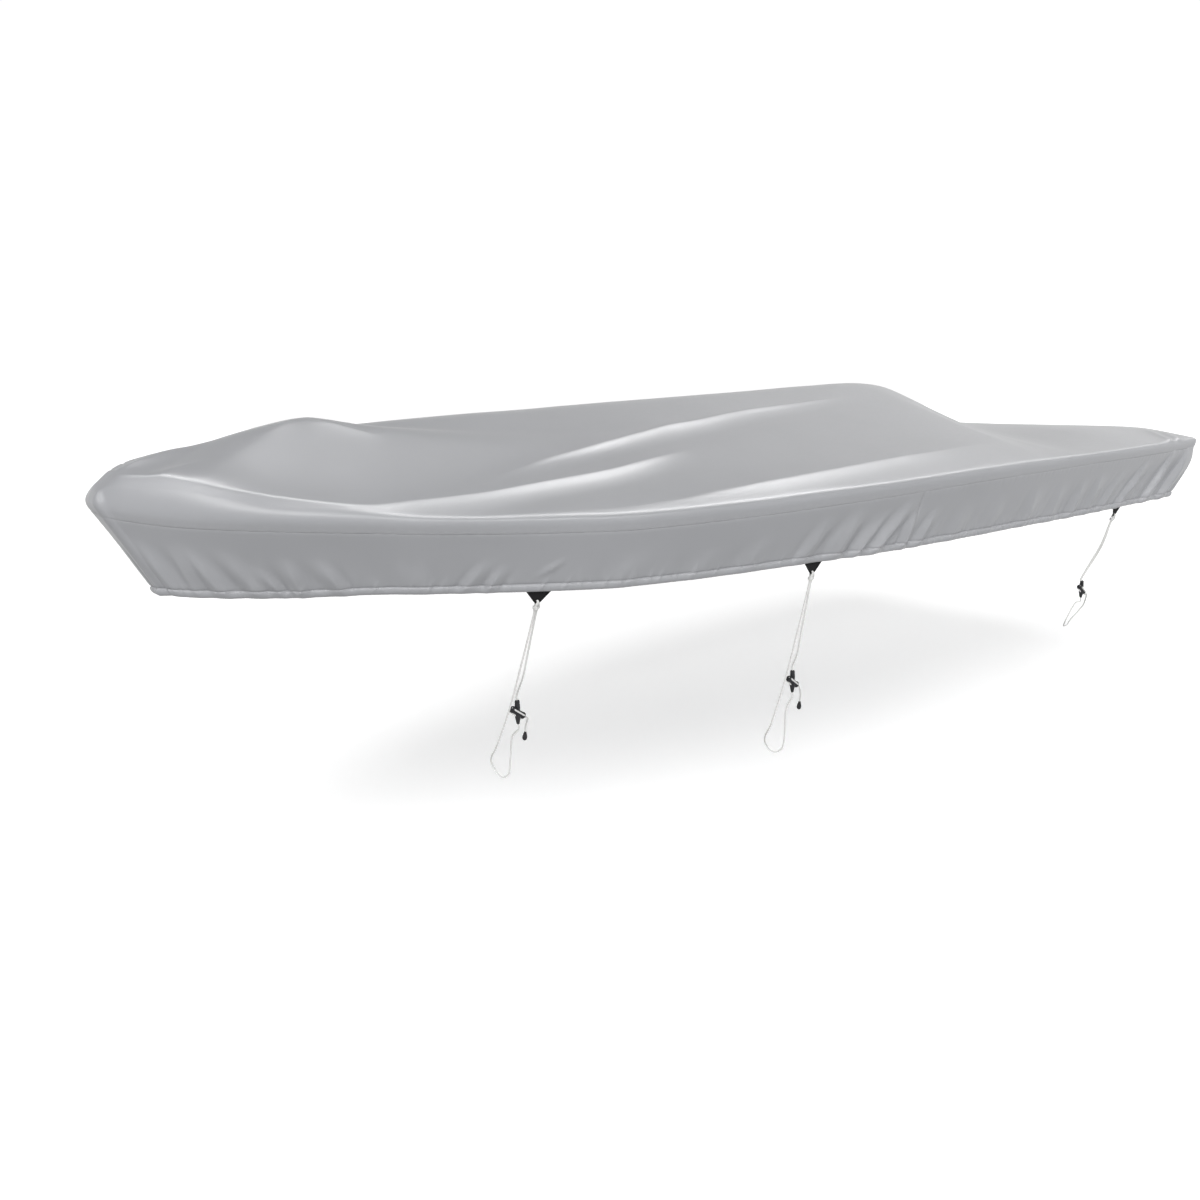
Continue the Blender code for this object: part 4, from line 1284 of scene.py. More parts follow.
def make_cloth_material():
    """Silver-grey coated polyester."""
    material, tree, shader = new_material("silver_cloth", CLOTH_COLOUR, CLOTH_ROUGHNESS)
    broad = object_noise(tree, Scale=2.2, Detail=3.0, Roughness=0.55)
    grain = object_noise(tree, Scale=55.0, Detail=4.0, Roughness=0.6)
    fine = object_noise(tree, Scale=620.0, Detail=2.0)
    tone = ramp_node(tree, broad, 0.30, 0.72, CLOTH_COLOUR, CLOTH_LIGHT)
    sewn = add_node(tree, "ShaderNodeAttribute", {"attribute_name": "sewn"}).outputs["Fac"]
    patchy_wear_and_light = math_node(tree, "MULTIPLY", sewn, grain, clamp=True)
    # Near sewn edges the colour is mixed towards a lighter grey: wear and dust, and painted light on the hem and the
    # seams.
    dust_and_light_mix = add_node(tree, "ShaderNodeMix", {"data_type": "RGBA"})
    tree.links.new(math_node(tree, "MULTIPLY", patchy_wear_and_light, 0.45), dust_and_light_mix.inputs["Factor"])
    tree.links.new(tone, dust_and_light_mix.inputs["A"])
    dust_and_light_mix.inputs["B"].default_value = (*WEAR_AND_LIGHT_COLOUR, 1.0)
    tree.links.new(dust_and_light_mix.outputs["Result"], shader.inputs["Base Color"])
    rough = math_node(tree, "ADD", math_node(tree, "MULTIPLY", grain, 0.08),
                      math_node(tree, "MULTIPLY", sewn, 0.10))
    tree.links.new(math_node(tree, "ADD", rough, CLOTH_ROUGHNESS - 0.04),
                   shader.inputs["Roughness"])
    height = math_node(tree, "ADD", math_node(tree, "MULTIPLY", weave_height(tree), 0.5),
                       math_node(tree, "MULTIPLY", fine, 0.6))
    weave = bump_node(tree, height, 0.15, 0.0002)
    tree.links.new(bump_node(tree, grain, 0.10, 0.0010, weave), shader.inputs["Normal"])
    shader.inputs["Specular IOR Level"].default_value = 0.8
    shader.inputs["Sheen Weight"].default_value = 0.04
    shader.inputs["Sheen Roughness"].default_value = 0.4
    return material


silver_cloth = make_cloth_material()
print("made", silver_cloth.name)

# %% [markdown]
# ## The top panel
#
# One grid covers the top inside the roll. A closed ring of columns round it makes the roll, and
# ends in a strip that laps over the skirt. The grid's own edge is the first row of the ring, so
# the two are one sheet.

# %% Top panel
ROW_STEPS = ((0.0, 0.009), (0.15, 0.012), (0.80, 0.012), (1.00, 0.024), (3.20, 0.024),
             (3.60, 0.018), (4.00, 0.012), (4.47, 0.012))
TOP_ACROSS = 140
DENSER = 1.8
DENSE_WIDTH = 0.040
TOP_ARC = 6
ROLL_STEPS = 7
LAP = 0.011
LAP_STEPS = (
    # part of the way down the lap, how far it stands out, part of the pucker
    (0.4, 0.0002, 0.5), (0.9, 0.0003, 1.0), (1.0, 0.0, 0.6),
)
PUCKER = 0.0002


def top_rows():
    """Distances from the nose, closer together where the cloth has small features."""
    fine = np.linspace(FIRST, LAST, 4000)
    steps = np.interp(fine, *zip(*ROW_STEPS))
    count = np.concatenate(([0.0], np.cumsum(np.diff(fine) / steps[1:])))
    return np.interp(np.linspace(0.0, count[-1], round(count[-1]) + 1), count, fine)


def top_shares(places):
    """Where each row has its columns, as parts of the half-beam: closer together at creases."""
    fine = np.linspace(-1.0, 1.0, 1201)
    half = section("half", places)[:, None]
    density = np.ones((len(places), len(fine)))
    for line in crease_lines:
        across = np.interp(places, line[:, 0], line[:, 1])[:, None]
        height = np.interp(places, line[:, 0], line[:, 2], left=0.0, right=0.0)[:, None]
        weight = np.minimum(height / 0.008, 1.0)
        density += DENSER * weight * np.exp(-((fine * half - across) / DENSE_WIDTH) ** 2)
    density[[0, -1]] = 1.0
    count = np.cumsum(density, axis=1) - density[:, :1]
    count /= count[:, -1:]
    wanted = np.linspace(0.0, 1.0, TOP_ACROSS + 1)
    return np.stack([np.interp(wanted, row, fine) for row in count])


def edge_numbers(rows, columns, arc_steps):
    """The grid vertex that each column of the ring hangs from."""
    last = (rows - 1) * columns
    corners = (0, columns - 1, last + columns - 1, last)
    arcs = [[c] * (arc_steps - 1) for c in corners]
    return ([i * columns for i in reversed(range(rows))] + arcs[0] + list(range(columns))
            + arcs[1] + [i * columns + columns - 1 for i in range(rows)] + arcs[2]
            + [last + j for j in reversed(range(columns))] + arcs[3])


def path_lengths(points):
    """Distance along a line of points, from its first one."""
    steps = np.linalg.norm(np.diff(points, axis=0), axis=1)
    return np.concatenate(([0.0], np.cumsum(steps)))


def make_top():
    """The top panel, from gunwale to gunwale, with its roll and the lap over the skirt."""
    places = top_rows()
    shares = top_shares(places)
    limits = 1.0 - ROLL / section("half", places)
    grid = top_points(places[:, None], shares * limits[:, None])
    rows, columns = grid.shape[:2]
    points = [grid.reshape(-1, 3)]
    spots = [np.stack([np.repeat(places, columns), grid[..., 1].reshape(-1)], axis=-1)]
    numbers = np.arange(rows * columns).reshape(rows, columns)
    faces = grid_faces(list(numbers))
    start, corner, hem, _ = rim_loop(places, shares[0], TOP_ARC)
    first = edge_numbers(rows, columns, TOP_ARC)
    start = points[0][first]
    reach = unit((corner - start) * (1.0, 1.0, 0.0))
    down = unit(hem - corner)
    outward = facing_out(corner, hem)
    line = path_lengths(corner)
    pucker = soft_noise(np.stack([line, line * 0, line * 0], axis=-1), 0.016, 5) * PUCKER
    ring = [np.array(first)]
    # sewn rises over the lap's last rows, where the cloth colour is lighter: partly wear, partly painted light.
    sewn = [np.zeros(rows * columns)]
    previous, distance = start, np.zeros(len(start))
    steps = [roll_points(start, corner, hem, (i + 1) / ROLL_STEPS) for i in range(ROLL_STEPS)]
    end = steps[-1]
    for drop, proud, share in LAP_STEPS:
        length = (ROLL_DROP + LAP) * drop
        steps.append(end + down * length + outward * (proud + pucker * share)[:, None])
    for i, step in enumerate(steps):
        distance = distance + np.linalg.norm(step - previous, axis=1)
        previous = step
        spots.append(points[0][first][:, :2] + (MIDLENGTH, 0.0) + reach[:, :2] * distance[:, None])
        ring.append(sum(map(len, points)) + np.arange(len(step)))
        points.append(step)
        sewn.append(np.full(len(step), max(0.0, (i - ROLL_STEPS + 3) / 4)))
    faces += grid_faces(ring, closed=True)
    obj = sheet_object("top_cloth", np.concatenate(points), faces, np.concatenate(spots),
                       np.concatenate(sewn), silver_cloth)
    turn_outwards(obj, (0, 0, 1))
    seam = steps[ROLL_STEPS] * 0.3 + steps[ROLL_STEPS + 1] * 0.7
    return obj, seam, outward


top_cloth, lap_line, lap_facing = make_top()
print("top:", len(top_cloth.data.polygons), "faces")

# %% [markdown]
# ## Folds of the skirt
#
# The skirt hangs from the seam and is pulled in at the hem, so its slack goes into slanted folds
# that grow towards the hem. The ones that show are given in a table: where each starts, how far
# down the skirt that is, where it meets the hem, its height, and the width of its fore and aft
# flanks. Many small ones are drawn from a seeded generator, because nobody notices where each of
# them is, only how many there are and which way they lean.

# %% Fold tables
# Each row: start, top, hem, height, and the widths of the fore and the aft flank.
FOLDS = (
    (0.086, 0.30, 0.186, 0.011, 0.022, 0.018), (0.150, 0.34, 0.226, 0.010, 0.018, 0.014),
    (0.172, 0.30, 0.288, 0.012, 0.024, 0.022), (0.252, 0.34, 0.367, 0.009, 0.028, 0.024),
    (0.342, 0.58, 0.420, 0.010, 0.014, 0.012), (0.397, 0.44, 0.463, 0.011, 0.020, 0.016),
    (0.476, 0.46, 0.560, 0.012, 0.020, 0.016), (0.700, 0.55, 0.735, 0.004, 0.030, 0.030),
    (0.882, 0.48, 0.839, 0.008, 0.014, 0.022), (0.926, 0.58, 0.900, 0.008, 0.012, 0.018),
    (1.300, 0.45, 1.270, 0.004, 0.040, 0.040), (1.560, 0.50, 1.520, 0.004, 0.040, 0.040),
    (1.740, 0.45, 1.690, 0.005, 0.035, 0.035), (1.975, 0.25, 1.904, 0.010, 0.024, 0.026),
    (2.110, 0.16, 2.034, 0.014, 0.030, 0.032), (2.235, 0.30, 2.130, 0.010, 0.026, 0.028),
    (2.360, 0.12, 2.209, 0.015, 0.028, 0.030), (2.382, 0.34, 2.360, 0.011, 0.014, 0.018),
    (2.495, 0.36, 2.432, 0.011, 0.018, 0.022), (2.660, 0.35, 2.620, 0.006, 0.034, 0.036),
    (2.860, 0.35, 2.820, 0.005, 0.036, 0.040), (3.110, 0.30, 3.080, 0.008, 0.034, 0.044),
    (3.300, 0.30, 3.270, 0.007, 0.030, 0.040), (3.465, 0.32, 3.430, 0.010, 0.024, 0.036),
    (3.610, 0.28, 3.560, 0.009, 0.024, 0.038), (3.790, 0.25, 3.690, 0.008, 0.024, 0.036),
    (4.000, 0.15, 3.835, 0.015, 0.020, 0.048), (4.245, 0.00, 4.088, 0.018, 0.012, 0.060),
    (4.400, 0.00, 4.270, 0.017, 0.012, 0.050),
)
FOLD_HEIGHT = 1.45
FOLD_WIDTH = 0.78
FOLD_ROUND, FOLD_TOP, FOLD_FALL = 0.12, 0.346, 0.9
FOLD_TROUGH = (0.30, 2.4, 0.9)
HEM_CALM = (0.55, 0.86, 0.12)
STREAK = ((1.098, 0.46), (1.016, 0.78), 0.008, 0.012)
TAB_PLACES = (1.032, 1.972, 3.915)
TAB_CALM = 0.045
STARBOARD_SHIFT = 0.03
SMALL_FOLDS = (
    # from, to, how many, lean, height, width
    (0.20, 0.85, 9, 0.07, 0.0016, 0.014),
    (0.85, 1.85, 10, -0.04, 0.0014, 0.018),
    (1.85, 2.60, 12, -0.11, 0.0018, 0.015),
    (2.60, 3.85, 16, -0.10, 0.0022, 0.018),
    (3.95, 4.40, 9, -0.14, 0.0024, 0.014),
)
random_folds = np.random.default_rng(11)


def small_folds(shift):
    """The many small folds of one side, in the form of the fold table."""
    rows = []
    for start, end, count, lean, height, width in SMALL_FOLDS:
        for k in range(count):
            spot, tilt, top, size, broad = random_folds.random(5)
            place = start + (end - start) * (k + spot) / count + shift
            wide = width * (0.7 + 0.6 * broad)
            rows.append((place, 0.35 + 0.45 * top, place + lean * (0.4 + 0.8 * tilt) * 0.6,
                         height * (0.4 + 0.9 * size), wide, wide))
    return rows


SIDE_FOLDS = {
    -1: [*FOLDS, *small_folds(0.0)],
    1: [(row[0] + STARBOARD_SHIFT, row[1], row[2] + STARBOARD_SHIFT * 0.5, *row[3:])
        for row in FOLDS] + small_folds(0.02),
}


def fold_crest(offset, fore, aft):
    """A fold across its width: 1 on the crest, with a round top and a shallow trough beside."""
    width = np.where(offset < 0, fore, aft)
    share = np.abs(offset) / width
    body = np.exp(-FOLD_FALL * (np.sqrt(share * share + FOLD_ROUND) - FOLD_TOP))
    depth, place, width = FOLD_TROUGH
    return body - depth * np.exp(-((share - place) / width) ** 2)


def fold_depth(points, down):
    """How far the folds push the skirt outwards."""
    along = points[..., 0] + MIDLENGTH
    total = np.zeros(along.shape)
    for side, folds in SIDE_FOLDS.items():
        here = points[..., 1] * side > 0
        for start, top, hem, height, fore, aft in folds:
            height, fore, aft = height * FOLD_HEIGHT, fore * FOLD_WIDTH, aft * FOLD_WIDTH
            grown = ease((down - top + 0.06) / (1.06 - top) * 1.6)
            middle = start + (hem - start) * (down - top) / (1.0 - top)
            total += np.where(here, height * grown * fold_crest(along - middle, fore, aft), 0.0)
    total *= 1.0 - HEM_CALM[0] * ease((down - HEM_CALM[1]) / HEM_CALM[2])
    for tab in TAB_PLACES:
        calm = np.exp(-((along - tab) / TAB_CALM) ** 2) * ease((down - 0.6) / 0.3)
        total *= 1.0 - 0.8 * calm
    (x0, d0), (x1, d1), height, width = STREAK
    share = np.clip((down - d0) / (d1 - d0), -0.3, 1.3)
    offset = np.abs(along - x0 - (x1 - x0) * share) / width
    body = np.exp(-offset * offset) * np.clip(1.0 - np.abs(2.0 * share - 1.0), 0.0, 1.0)
    return total + height * body * (points[..., 1] < 0)


print("folds a side:", len(SIDE_FOLDS[-1]))

# %% [markdown]
# ## The hem
#
# The hem is the cloth turned up by 25 mm and sewn. Sewing draws it in a little, so it puckers
# into short cross pleats, which are deepest at the stitches and die out above them. The grid
# follows the real fold: down the outside, round the edge, and up again inside. Its rows are
# listed, closer together where the cloth turns.

# %% Rows of the skirt and pleats of the hem
HEM_WIDTH = 0.025
HEM_ROWS = ((0.056, 0.0), (0.047, 0.0), (0.040, 0.0), (0.034, -0.0002), (0.0305, -0.0008),
            (0.0285, -0.0020), (0.0270, -0.0032), (0.0255, -0.0030), (0.0240, 0.0000),
            (0.0215, 0.0024), (0.0175, 0.0046), (0.0125, 0.0060), (0.0075, 0.0064),
            (0.0036, 0.0052), (0.0010, 0.0028))
HEM_BACK = ((0.0, -0.0004), (0.0012, -0.0028), (0.011, -0.0034), (0.024, -0.0036))
SEAM_ROWS = ((-0.008, -0.0014), (0.0, -0.0014), (0.0092, -0.0010), (0.0106, -0.0003),
             (0.0122, 0.0), (0.022, 0.0))
BODY_STEP = 0.0135
PLEAT_GAP = (0.016, 0.050)
PLEAT_HEIGHT = 0.0046
PLEAT_WIDTH = (0.0032, 0.0070)
random_pleats = np.random.default_rng(23)


def pleat_table(length):
    """Cross pleats along a hem of some length: place, lean, height and width of each."""
    rows, place = [], 0.0
    while place < length:
        gap, lean, size, width = random_pleats.random(4)
        place += PLEAT_GAP[0] + (PLEAT_GAP[1] - PLEAT_GAP[0]) * gap * gap
        rows.append((place, (lean - 0.5) * 1.6, PLEAT_HEIGHT * (0.25 + 0.75 * size),
                     PLEAT_WIDTH[0] + (PLEAT_WIDTH[1] - PLEAT_WIDTH[0]) * width))
    return rows


def pleat_height(line, above):
    """Height of the cross pleats, on a line along the hem and at distances above its edge."""
    fade = np.where(above < HEM_WIDTH, 0.30 + 0.70 * above / HEM_WIDTH,
                    np.exp(-(above - HEM_WIDTH) / 0.016))
    total = np.zeros((len(above), len(line)))
    for place, lean, height, width in pleat_table(line[-1]):
        near = np.abs(line - place) < 0.08
        offset = line[None, near] - place - lean * above[:, None]
        total[:, near] += height * np.exp(-(offset / width) ** 2)
    return total * fade[:, None]


print("rows at the hem:", len(HEM_ROWS) + len(HEM_BACK))

# %% [markdown]
# ## The skirt
#
# A skirt length is a stretch of the rim's columns. Where two lengths meet, the after one is
# tucked behind the forward one, as in a lapped seam, and the cloth puckers a little along the
# stitches. At the two stern corners the slack cloth stands out in a soft bulge.

# %% Skirt pieces
SKIRT_STEP = 0.0042
SKIRT_ARC = 9
STERN_COLUMNS = 28
TUCK = 0.0018
TUCK_COLUMNS = 3
SEAM_PUCKER = 0.0013
BULGE = 0.024
BULGE_REACH = 0.11
BULGE_DOWN = 0.42
BULGE_TUCK = 0.30
PUCKER_REACH = (0.022, 0.020)
WOBBLE_SIZE = 0.017
SAG_SIZE, SAG_HEIGHT = 0.19, 0.0022
SEWN_REACH = (0.006, 0.010, 0.006)

skirt_places = np.linspace(FIRST, LAST, round((LAST - FIRST) / SKIRT_STEP) + 1)
half_ends = [section("half", FIRST) - ROLL, section("half", LAST) - ROLL]
skirt_shares = np.linspace(-1.0, 1.0, round(2 * half_ends[1] / SKIRT_STEP) + 1)
_, rim_corner, rim_hem, rim_counts = rim_loop(skirt_places, skirt_shares, SKIRT_ARC)
nose_keep = max(2, round(2 * half_ends[0] / SKIRT_STEP))
stern_edge = half_ends[1] * (1 - 2 / STERN_COLUMNS)


def thinned_rim():
    """The rim without most of the columns that crowd across the narrow nose."""
    ends = np.cumsum(rim_counts)
    nose = np.arange(ends[1], ends[2])
    step = len(nose) // nose_keep
    drop = [i for k, i in enumerate(nose) if k % step and k != len(nose) - 1]
    return np.setdiff1d(np.arange(ends[-1]), drop)


rim_kept = thinned_rim()
rim_seam = seam_line(rim_corner, rim_hem)[rim_kept]
rim_edge = rim_hem[rim_kept]
rim_out = facing_out(rim_corner[rim_kept], rim_edge)
rim_along = path_lengths(rim_edge)


def rim_owner(point):
    """The skirt length that a column of the rim belongs to."""
    if point[0] > LAST - MIDLENGTH + 0.5 * ROLL and abs(point[1]) < stern_edge:
        return "stern"
    if point[0] + MIDLENGTH > SKIRT_SEAM:
        return "port" if point[1] < 0 else "starboard"
    return "bow"


owners = [rim_owner(p) for p in rim_corner[rim_kept]]
print("rim:", len(owners), "columns,", {name: owners.count(name) for name in sorted(set(owners))})


def skirt_columns(name):
    """The columns of one skirt length in order, and how far each is tucked behind the next."""
    count = len(owners)
    first = next(i for i in range(count) if owners[i] == name and owners[i - 1] != name)
    number = owners.count(name)
    before = TUCK_COLUMNS if name in ("stern", "starboard") else 0
    after = TUCK_COLUMNS if name in ("port", "stern") else 0
    chosen = [i % count for i in range(first - before, first + number + after + 1)]
    tuck = np.zeros(len(chosen))
    for k in range(TUCK_COLUMNS + 2):
        share = min(1.0, 1.4 - k / (TUCK_COLUMNS + 1))
        if before:
            tuck[k] = max(0.0, share)
        if after:
            tuck[-1 - k] = max(0.0, share)
    return np.array(chosen), tuck * TUCK


def seam_distance(points):
    """Distance along the skirt to the nearest upright seam."""
    along = points[..., 0] + MIDLENGTH
    side = np.abs(along - SKIRT_SEAM)
    at_stern = along > LAST - 0.1
    corner = np.where(at_stern, np.abs(np.abs(points[..., 1]) - stern_edge), 1.0)
    return np.minimum(side, corner)


def corner_bulge(corner, share_down):
    """How far the slack cloth stands out at the two stern corners."""
    beside = np.stack([corner[:, 0] - (LAST - MIDLENGTH), np.abs(corner[:, 1]) - half_ends[1]])
    near = np.exp(-(beside**2).sum(axis=0) / BULGE_REACH**2)
    down = share_down / BULGE_DOWN
    return BULGE * near * (down**2 * np.exp(2.0 - 2.0 * down) - BULGE_TUCK * share_down**2)


def make_skirt(name, outside):
    """One length of the skirt, from under the top's lap to its turned-up hem."""
    chosen, tuck = skirt_columns(name)
    seam, edge, out = rim_seam[chosen], rim_edge[chosen], rim_out[chosen]
    down = unit(edge - seam)
    length = np.linalg.norm(edge - seam, axis=1)
    body_from, body_to = SEAM_ROWS[-1][0], HEM_ROWS[0][0]
    typical = float(np.median(length)) - body_to
    body = np.linspace(body_from, typical, round(typical / BODY_STEP) + 1)[1:-1]
    body_share = (body - body_from) / (typical - body_from)
    line = rim_along[chosen] - rim_along[chosen].min()
    free = length - body_to - body_from
    drops = [np.full(len(seam), drop) for drop, _ in SEAM_ROWS]
    drops += [body_from + free * share for share in body_share]
    drops += [length - above for above, _ in HEM_ROWS + HEM_BACK]
    offsets = [proud for _, proud in SEAM_ROWS] + [0.0] * len(body_share)
    offsets += [proud for _, proud in HEM_ROWS + HEM_BACK]
    drops, offsets = np.array(drops), np.array(offsets)
    points = seam[None] + down[None] * drops[..., None]
    share_down = np.clip(drops / length, 0.0, 1.0)
    lift = offsets[:, None] - tuck[None, :]
    depth = fold_depth(points, share_down) if name != "stern" else np.zeros(drops.shape)
    above = np.mean(length - drops, axis=1)
    pleats = pleat_height(line, np.clip(above, 0.0, 1.0))
    pleats *= np.clip(1.0 - (above - 0.05) / 0.03, 0.0, 1.0)[:, None]
    puckers = (np.exp(-seam_distance(points) / PUCKER_REACH[0])
               + np.exp(-np.clip(drops, 0, 1) / PUCKER_REACH[1]))
    wobble = soft_noise((points * (1.0, 1.0, 0.45)).reshape(-1, 3), WOBBLE_SIZE, 9)
    wobble = wobble.reshape(drops.shape)
    rough = soft_noise(points.reshape(-1, 3), SAG_SIZE, 4).reshape(drops.shape)
    lift = lift + depth + pleats + wobble * puckers * SEAM_PUCKER * np.clip(drops / 0.01, 0, 1)
    lift = lift + rough * SAG_HEIGHT * np.clip(share_down * 4, 0, 1)
    lift = lift + corner_bulge(rim_corner[rim_kept][chosen], share_down)
    points = points + out[None] * lift[..., None]
    rows, columns = drops.shape
    numbers = np.arange(rows * columns).reshape(rows, columns)
    spots = np.stack([np.broadcast_to(line, drops.shape), drops], axis=-1).reshape(-1, 2)
    # sewn is high at the hem, the upright seams and the lap, where the colour is lighter: partly wear, partly painted
    # light.
    sewn = np.exp(-np.abs((length - drops) - HEM_WIDTH) / SEWN_REACH[0])
    sewn = np.maximum(sewn, np.exp(-seam_distance(points) / SEWN_REACH[1]))
    sewn = np.maximum(sewn, np.exp(-np.abs(drops - LAP) / SEWN_REACH[2]))
    obj = sheet_object(f"{name}_skirt", points.reshape(-1, 3), grid_faces(list(numbers)), spots,
                       sewn.reshape(-1), silver_cloth)
    turn_outwards(obj, outside)
    return obj, points, out


skirts = {}
for name, outside in (("port", (0, -1, 0)), ("starboard", (0, 1, 0)), ("stern", (1, 0, 0)),
                      ("bow", (-1, 0, 0))):
    skirts[name] = make_skirt(name, outside)
    print(name, "skirt:", len(skirts[name][0].data.polygons), "faces")

# %% [markdown]
# ## Declaring the cloth
#
# Each sheet is declared with the size it was cut to. The pieces are cut in curves, so the flat
# area is given as well.

SHEET_FACTS = {
    "top_panel": (top_cloth, (1.90, 4.55), 7.05),
    "skirt_bow": (skirts["bow"][0], (0.33, 4.95), 1.19),
    "skirt_port": (skirts["port"][0], (0.32, 2.10), 0.57),
    "skirt_starboard": (skirts["starboard"][0], (0.32, 2.10), 0.57),
    "skirt_stern": (skirts["stern"][0], (0.32, 1.70), 0.45),
}
for node, (piece, flat, area) in SHEET_FACTS.items():
    settle(piece, "cover_cloth", node)
    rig.sheet(piece, flat=flat, held="stretched", rests_on=[], area=area)
print("sheets declared:", len(SHEET_FACTS))

# %% [markdown]
# ## Webbing tabs
#
# Each tab is a triangle of black webbing, sewn behind the hem with its point down, where the cord
# pulls it. Its two slanted sides are folded over and stitched, so they stand a little higher. The
# material colours the folded sides darker than the middle and leaves the ribs out there. The tip
# comes from the imported model, because the knot hangs there.

# %% Webbing material
RIB_PITCH = 0.0019
RIB_DASH = 0.0024


def make_webbing_material():
    """Black ribbed webbing. Its ribs follow the UV map and its folded sides an attribute."""
    material, tree, shader = new_material("black_webbing", (0.009, 0.009, 0.010), 0.85)
    shader.inputs["Specular IOR Level"].default_value = 0.25
    u, v = uv_axes(tree, "weave")
    across = math_node(tree, "MULTIPLY", u, math.pi / RIB_PITCH)
    along = math_node(tree, "MULTIPLY", v, math.pi / RIB_DASH)
    rib = rib_node(tree, across)
    dash = rib_node(tree, math_node(tree, "ADD", along, across))
    fuzz = object_noise(tree, Scale=800.0, Detail=2.0)
    height = math_node(tree, "ADD", rib, math_node(tree, "MULTIPLY", dash, 0.5))
    height = math_node(tree, "ADD", height, math_node(tree, "MULTIPLY", fuzz, 0.4))
    tree.links.new(bump_node(tree, height, 0.7, 0.0005), shader.inputs["Normal"])
    # The folded sides get the darkest colour and no ribs.
    folded = add_node(tree, "ShaderNodeAttribute", {"attribute_name": "sewn"})
    flat = math_node(tree, "SUBTRACT", 1.0, folded.outputs["Fac"])
    tone = math_node(tree, "MULTIPLY", flat, rib)
    tree.links.new(ramp_node(tree, tone, 0.0, 1.0, (0.0035, 0.0035, 0.004),
                             (0.016, 0.016, 0.017)), shader.inputs["Base Color"])
    shader.inputs["Sheen Weight"].default_value = 0.02
    return material


black_webbing = make_webbing_material()
print("made", black_webbing.name)

# %% Webbing tabs
TAB_WIDTH = 0.075
TAB_DROP = 0.042
TAB_TURN_UP = 0.014
TAB_TIP = 0.012
TAB_THICK = 0.0020
TAB_BEHIND = (0.0056, 0.0026)
TAB_FOLD = (0.0045, 0.0025, 0.0009)
TAB_COLUMNS = 30
TAB_ROWS = 18


def tab_tip(node):
    """The middle of the blunt tip of a tab in the frame."""
    spots = sorted({tuple(v.co) for v in frame["nodes"][node].data.vertices}, key=lambda p: p[2])
    return np.mean(spots[:4], axis=0)


def make_tab(node, name, along, side):
    """A triangle of webbing that hangs from behind the hem."""
    drops = np.concatenate((np.linspace(-TAB_TURN_UP, 0.0, 5)[:-1],
                            np.linspace(0.0, TAB_DROP, TAB_ROWS)))
    free = np.maximum(drops, 0.0)
    share = free / TAB_DROP
    across = np.linspace(-1.0, 1.0, TAB_COLUMNS + 1)
    wide = (TAB_WIDTH + (TAB_TIP - TAB_WIDTH) * share) / 2 * (1.0 - 0.25 * share**16)
    places = along + across[None, :] * wide[:, None]
    _, _, hem = rim_side(places.reshape(-1), side)
    _, ends_corner, ends = rim_side(np.array([along - 0.02, along, along + 0.02]), side)
    down = unit(ends[1] - ends_corner[1])
    facing = unit(np.cross(ends[2] - ends[0], down))
    facing = facing * np.sign(facing[1] * side)
    behind = TAB_BEHIND[0] + (TAB_BEHIND[1] - TAB_BEHIND[0]) * share
    pull = unit(tab_tip(node) + facing * TAB_THICK / 2 - (ends[1] - facing * TAB_BEHIND[1]))
    edge = (1.0 - np.abs(across[None, :])) * wide[:, None]
    folded = 1.0 - ease((edge - TAB_FOLD[0]) / TAB_FOLD[1])
    folded = folded * (free[:, None] > 0)
    points = hem.reshape(*places.shape, 3) + down * np.minimum(drops, 0.0)[:, None, None]
    points = points + pull * free[:, None, None]
    points = points + facing * (folded * TAB_FOLD[2] - behind[:, None])[..., None]
    spots = np.stack([places - along, np.broadcast_to(drops[:, None], places.shape)], axis=-1)
    numbers = np.arange(places.size).reshape(places.shape)
    obj = sheet_object(name, points.reshape(-1, 3), grid_faces(list(numbers)),
                       spots.reshape(-1, 2), folded.reshape(-1), black_webbing)
    obj.modifiers["thickness"].thickness = TAB_THICK
    turn_outwards(obj, facing)
    settle(obj, "webbing", node)
    return points, facing


tabs = {}
for side, side_name in ((-1, "port"), (1, "starboard")):
    for number, along in enumerate(TAB_PLACES, start=1):
        tabs[f"{side_name}_{number}"] = make_tab(f"tab_{side_name}_{number}",
                                                 f"webbing_{side_name}_{number}", along, side)
print("tabs:", ", ".join(tabs))

# %% [markdown]
# ## Stitches
#
# Thread is what holds the cover together, and close up it is what makes a seam look sewn. Every
# row of stitches follows a line on the cloth, so one Geometry Nodes tree makes them all: it turns
# the line into a curve, spaces points along it, and puts a small rounded stitch on each, turned
# to lie on the cloth. A seed makes each stitch lie a little differently. The result is turned
# into plain mesh.

# %% Thread and the stitch tree
STITCH_PITCH = 0.0046
STITCH_SIZE = (0.0034, 0.0010, 0.0008)
STITCH_LIFT = 0.0002
STITCH_SEED = 5


def make_thread_material(name, colour):
    """Polyester thread."""
    material, tree, shader = new_material(name, colour, 0.55)
    twist = object_noise(tree, Scale=1500.0, Detail=2.0)
    tree.links.new(bump_node(tree, twist, 0.4, 0.0002), shader.inputs["Normal"])
    return material


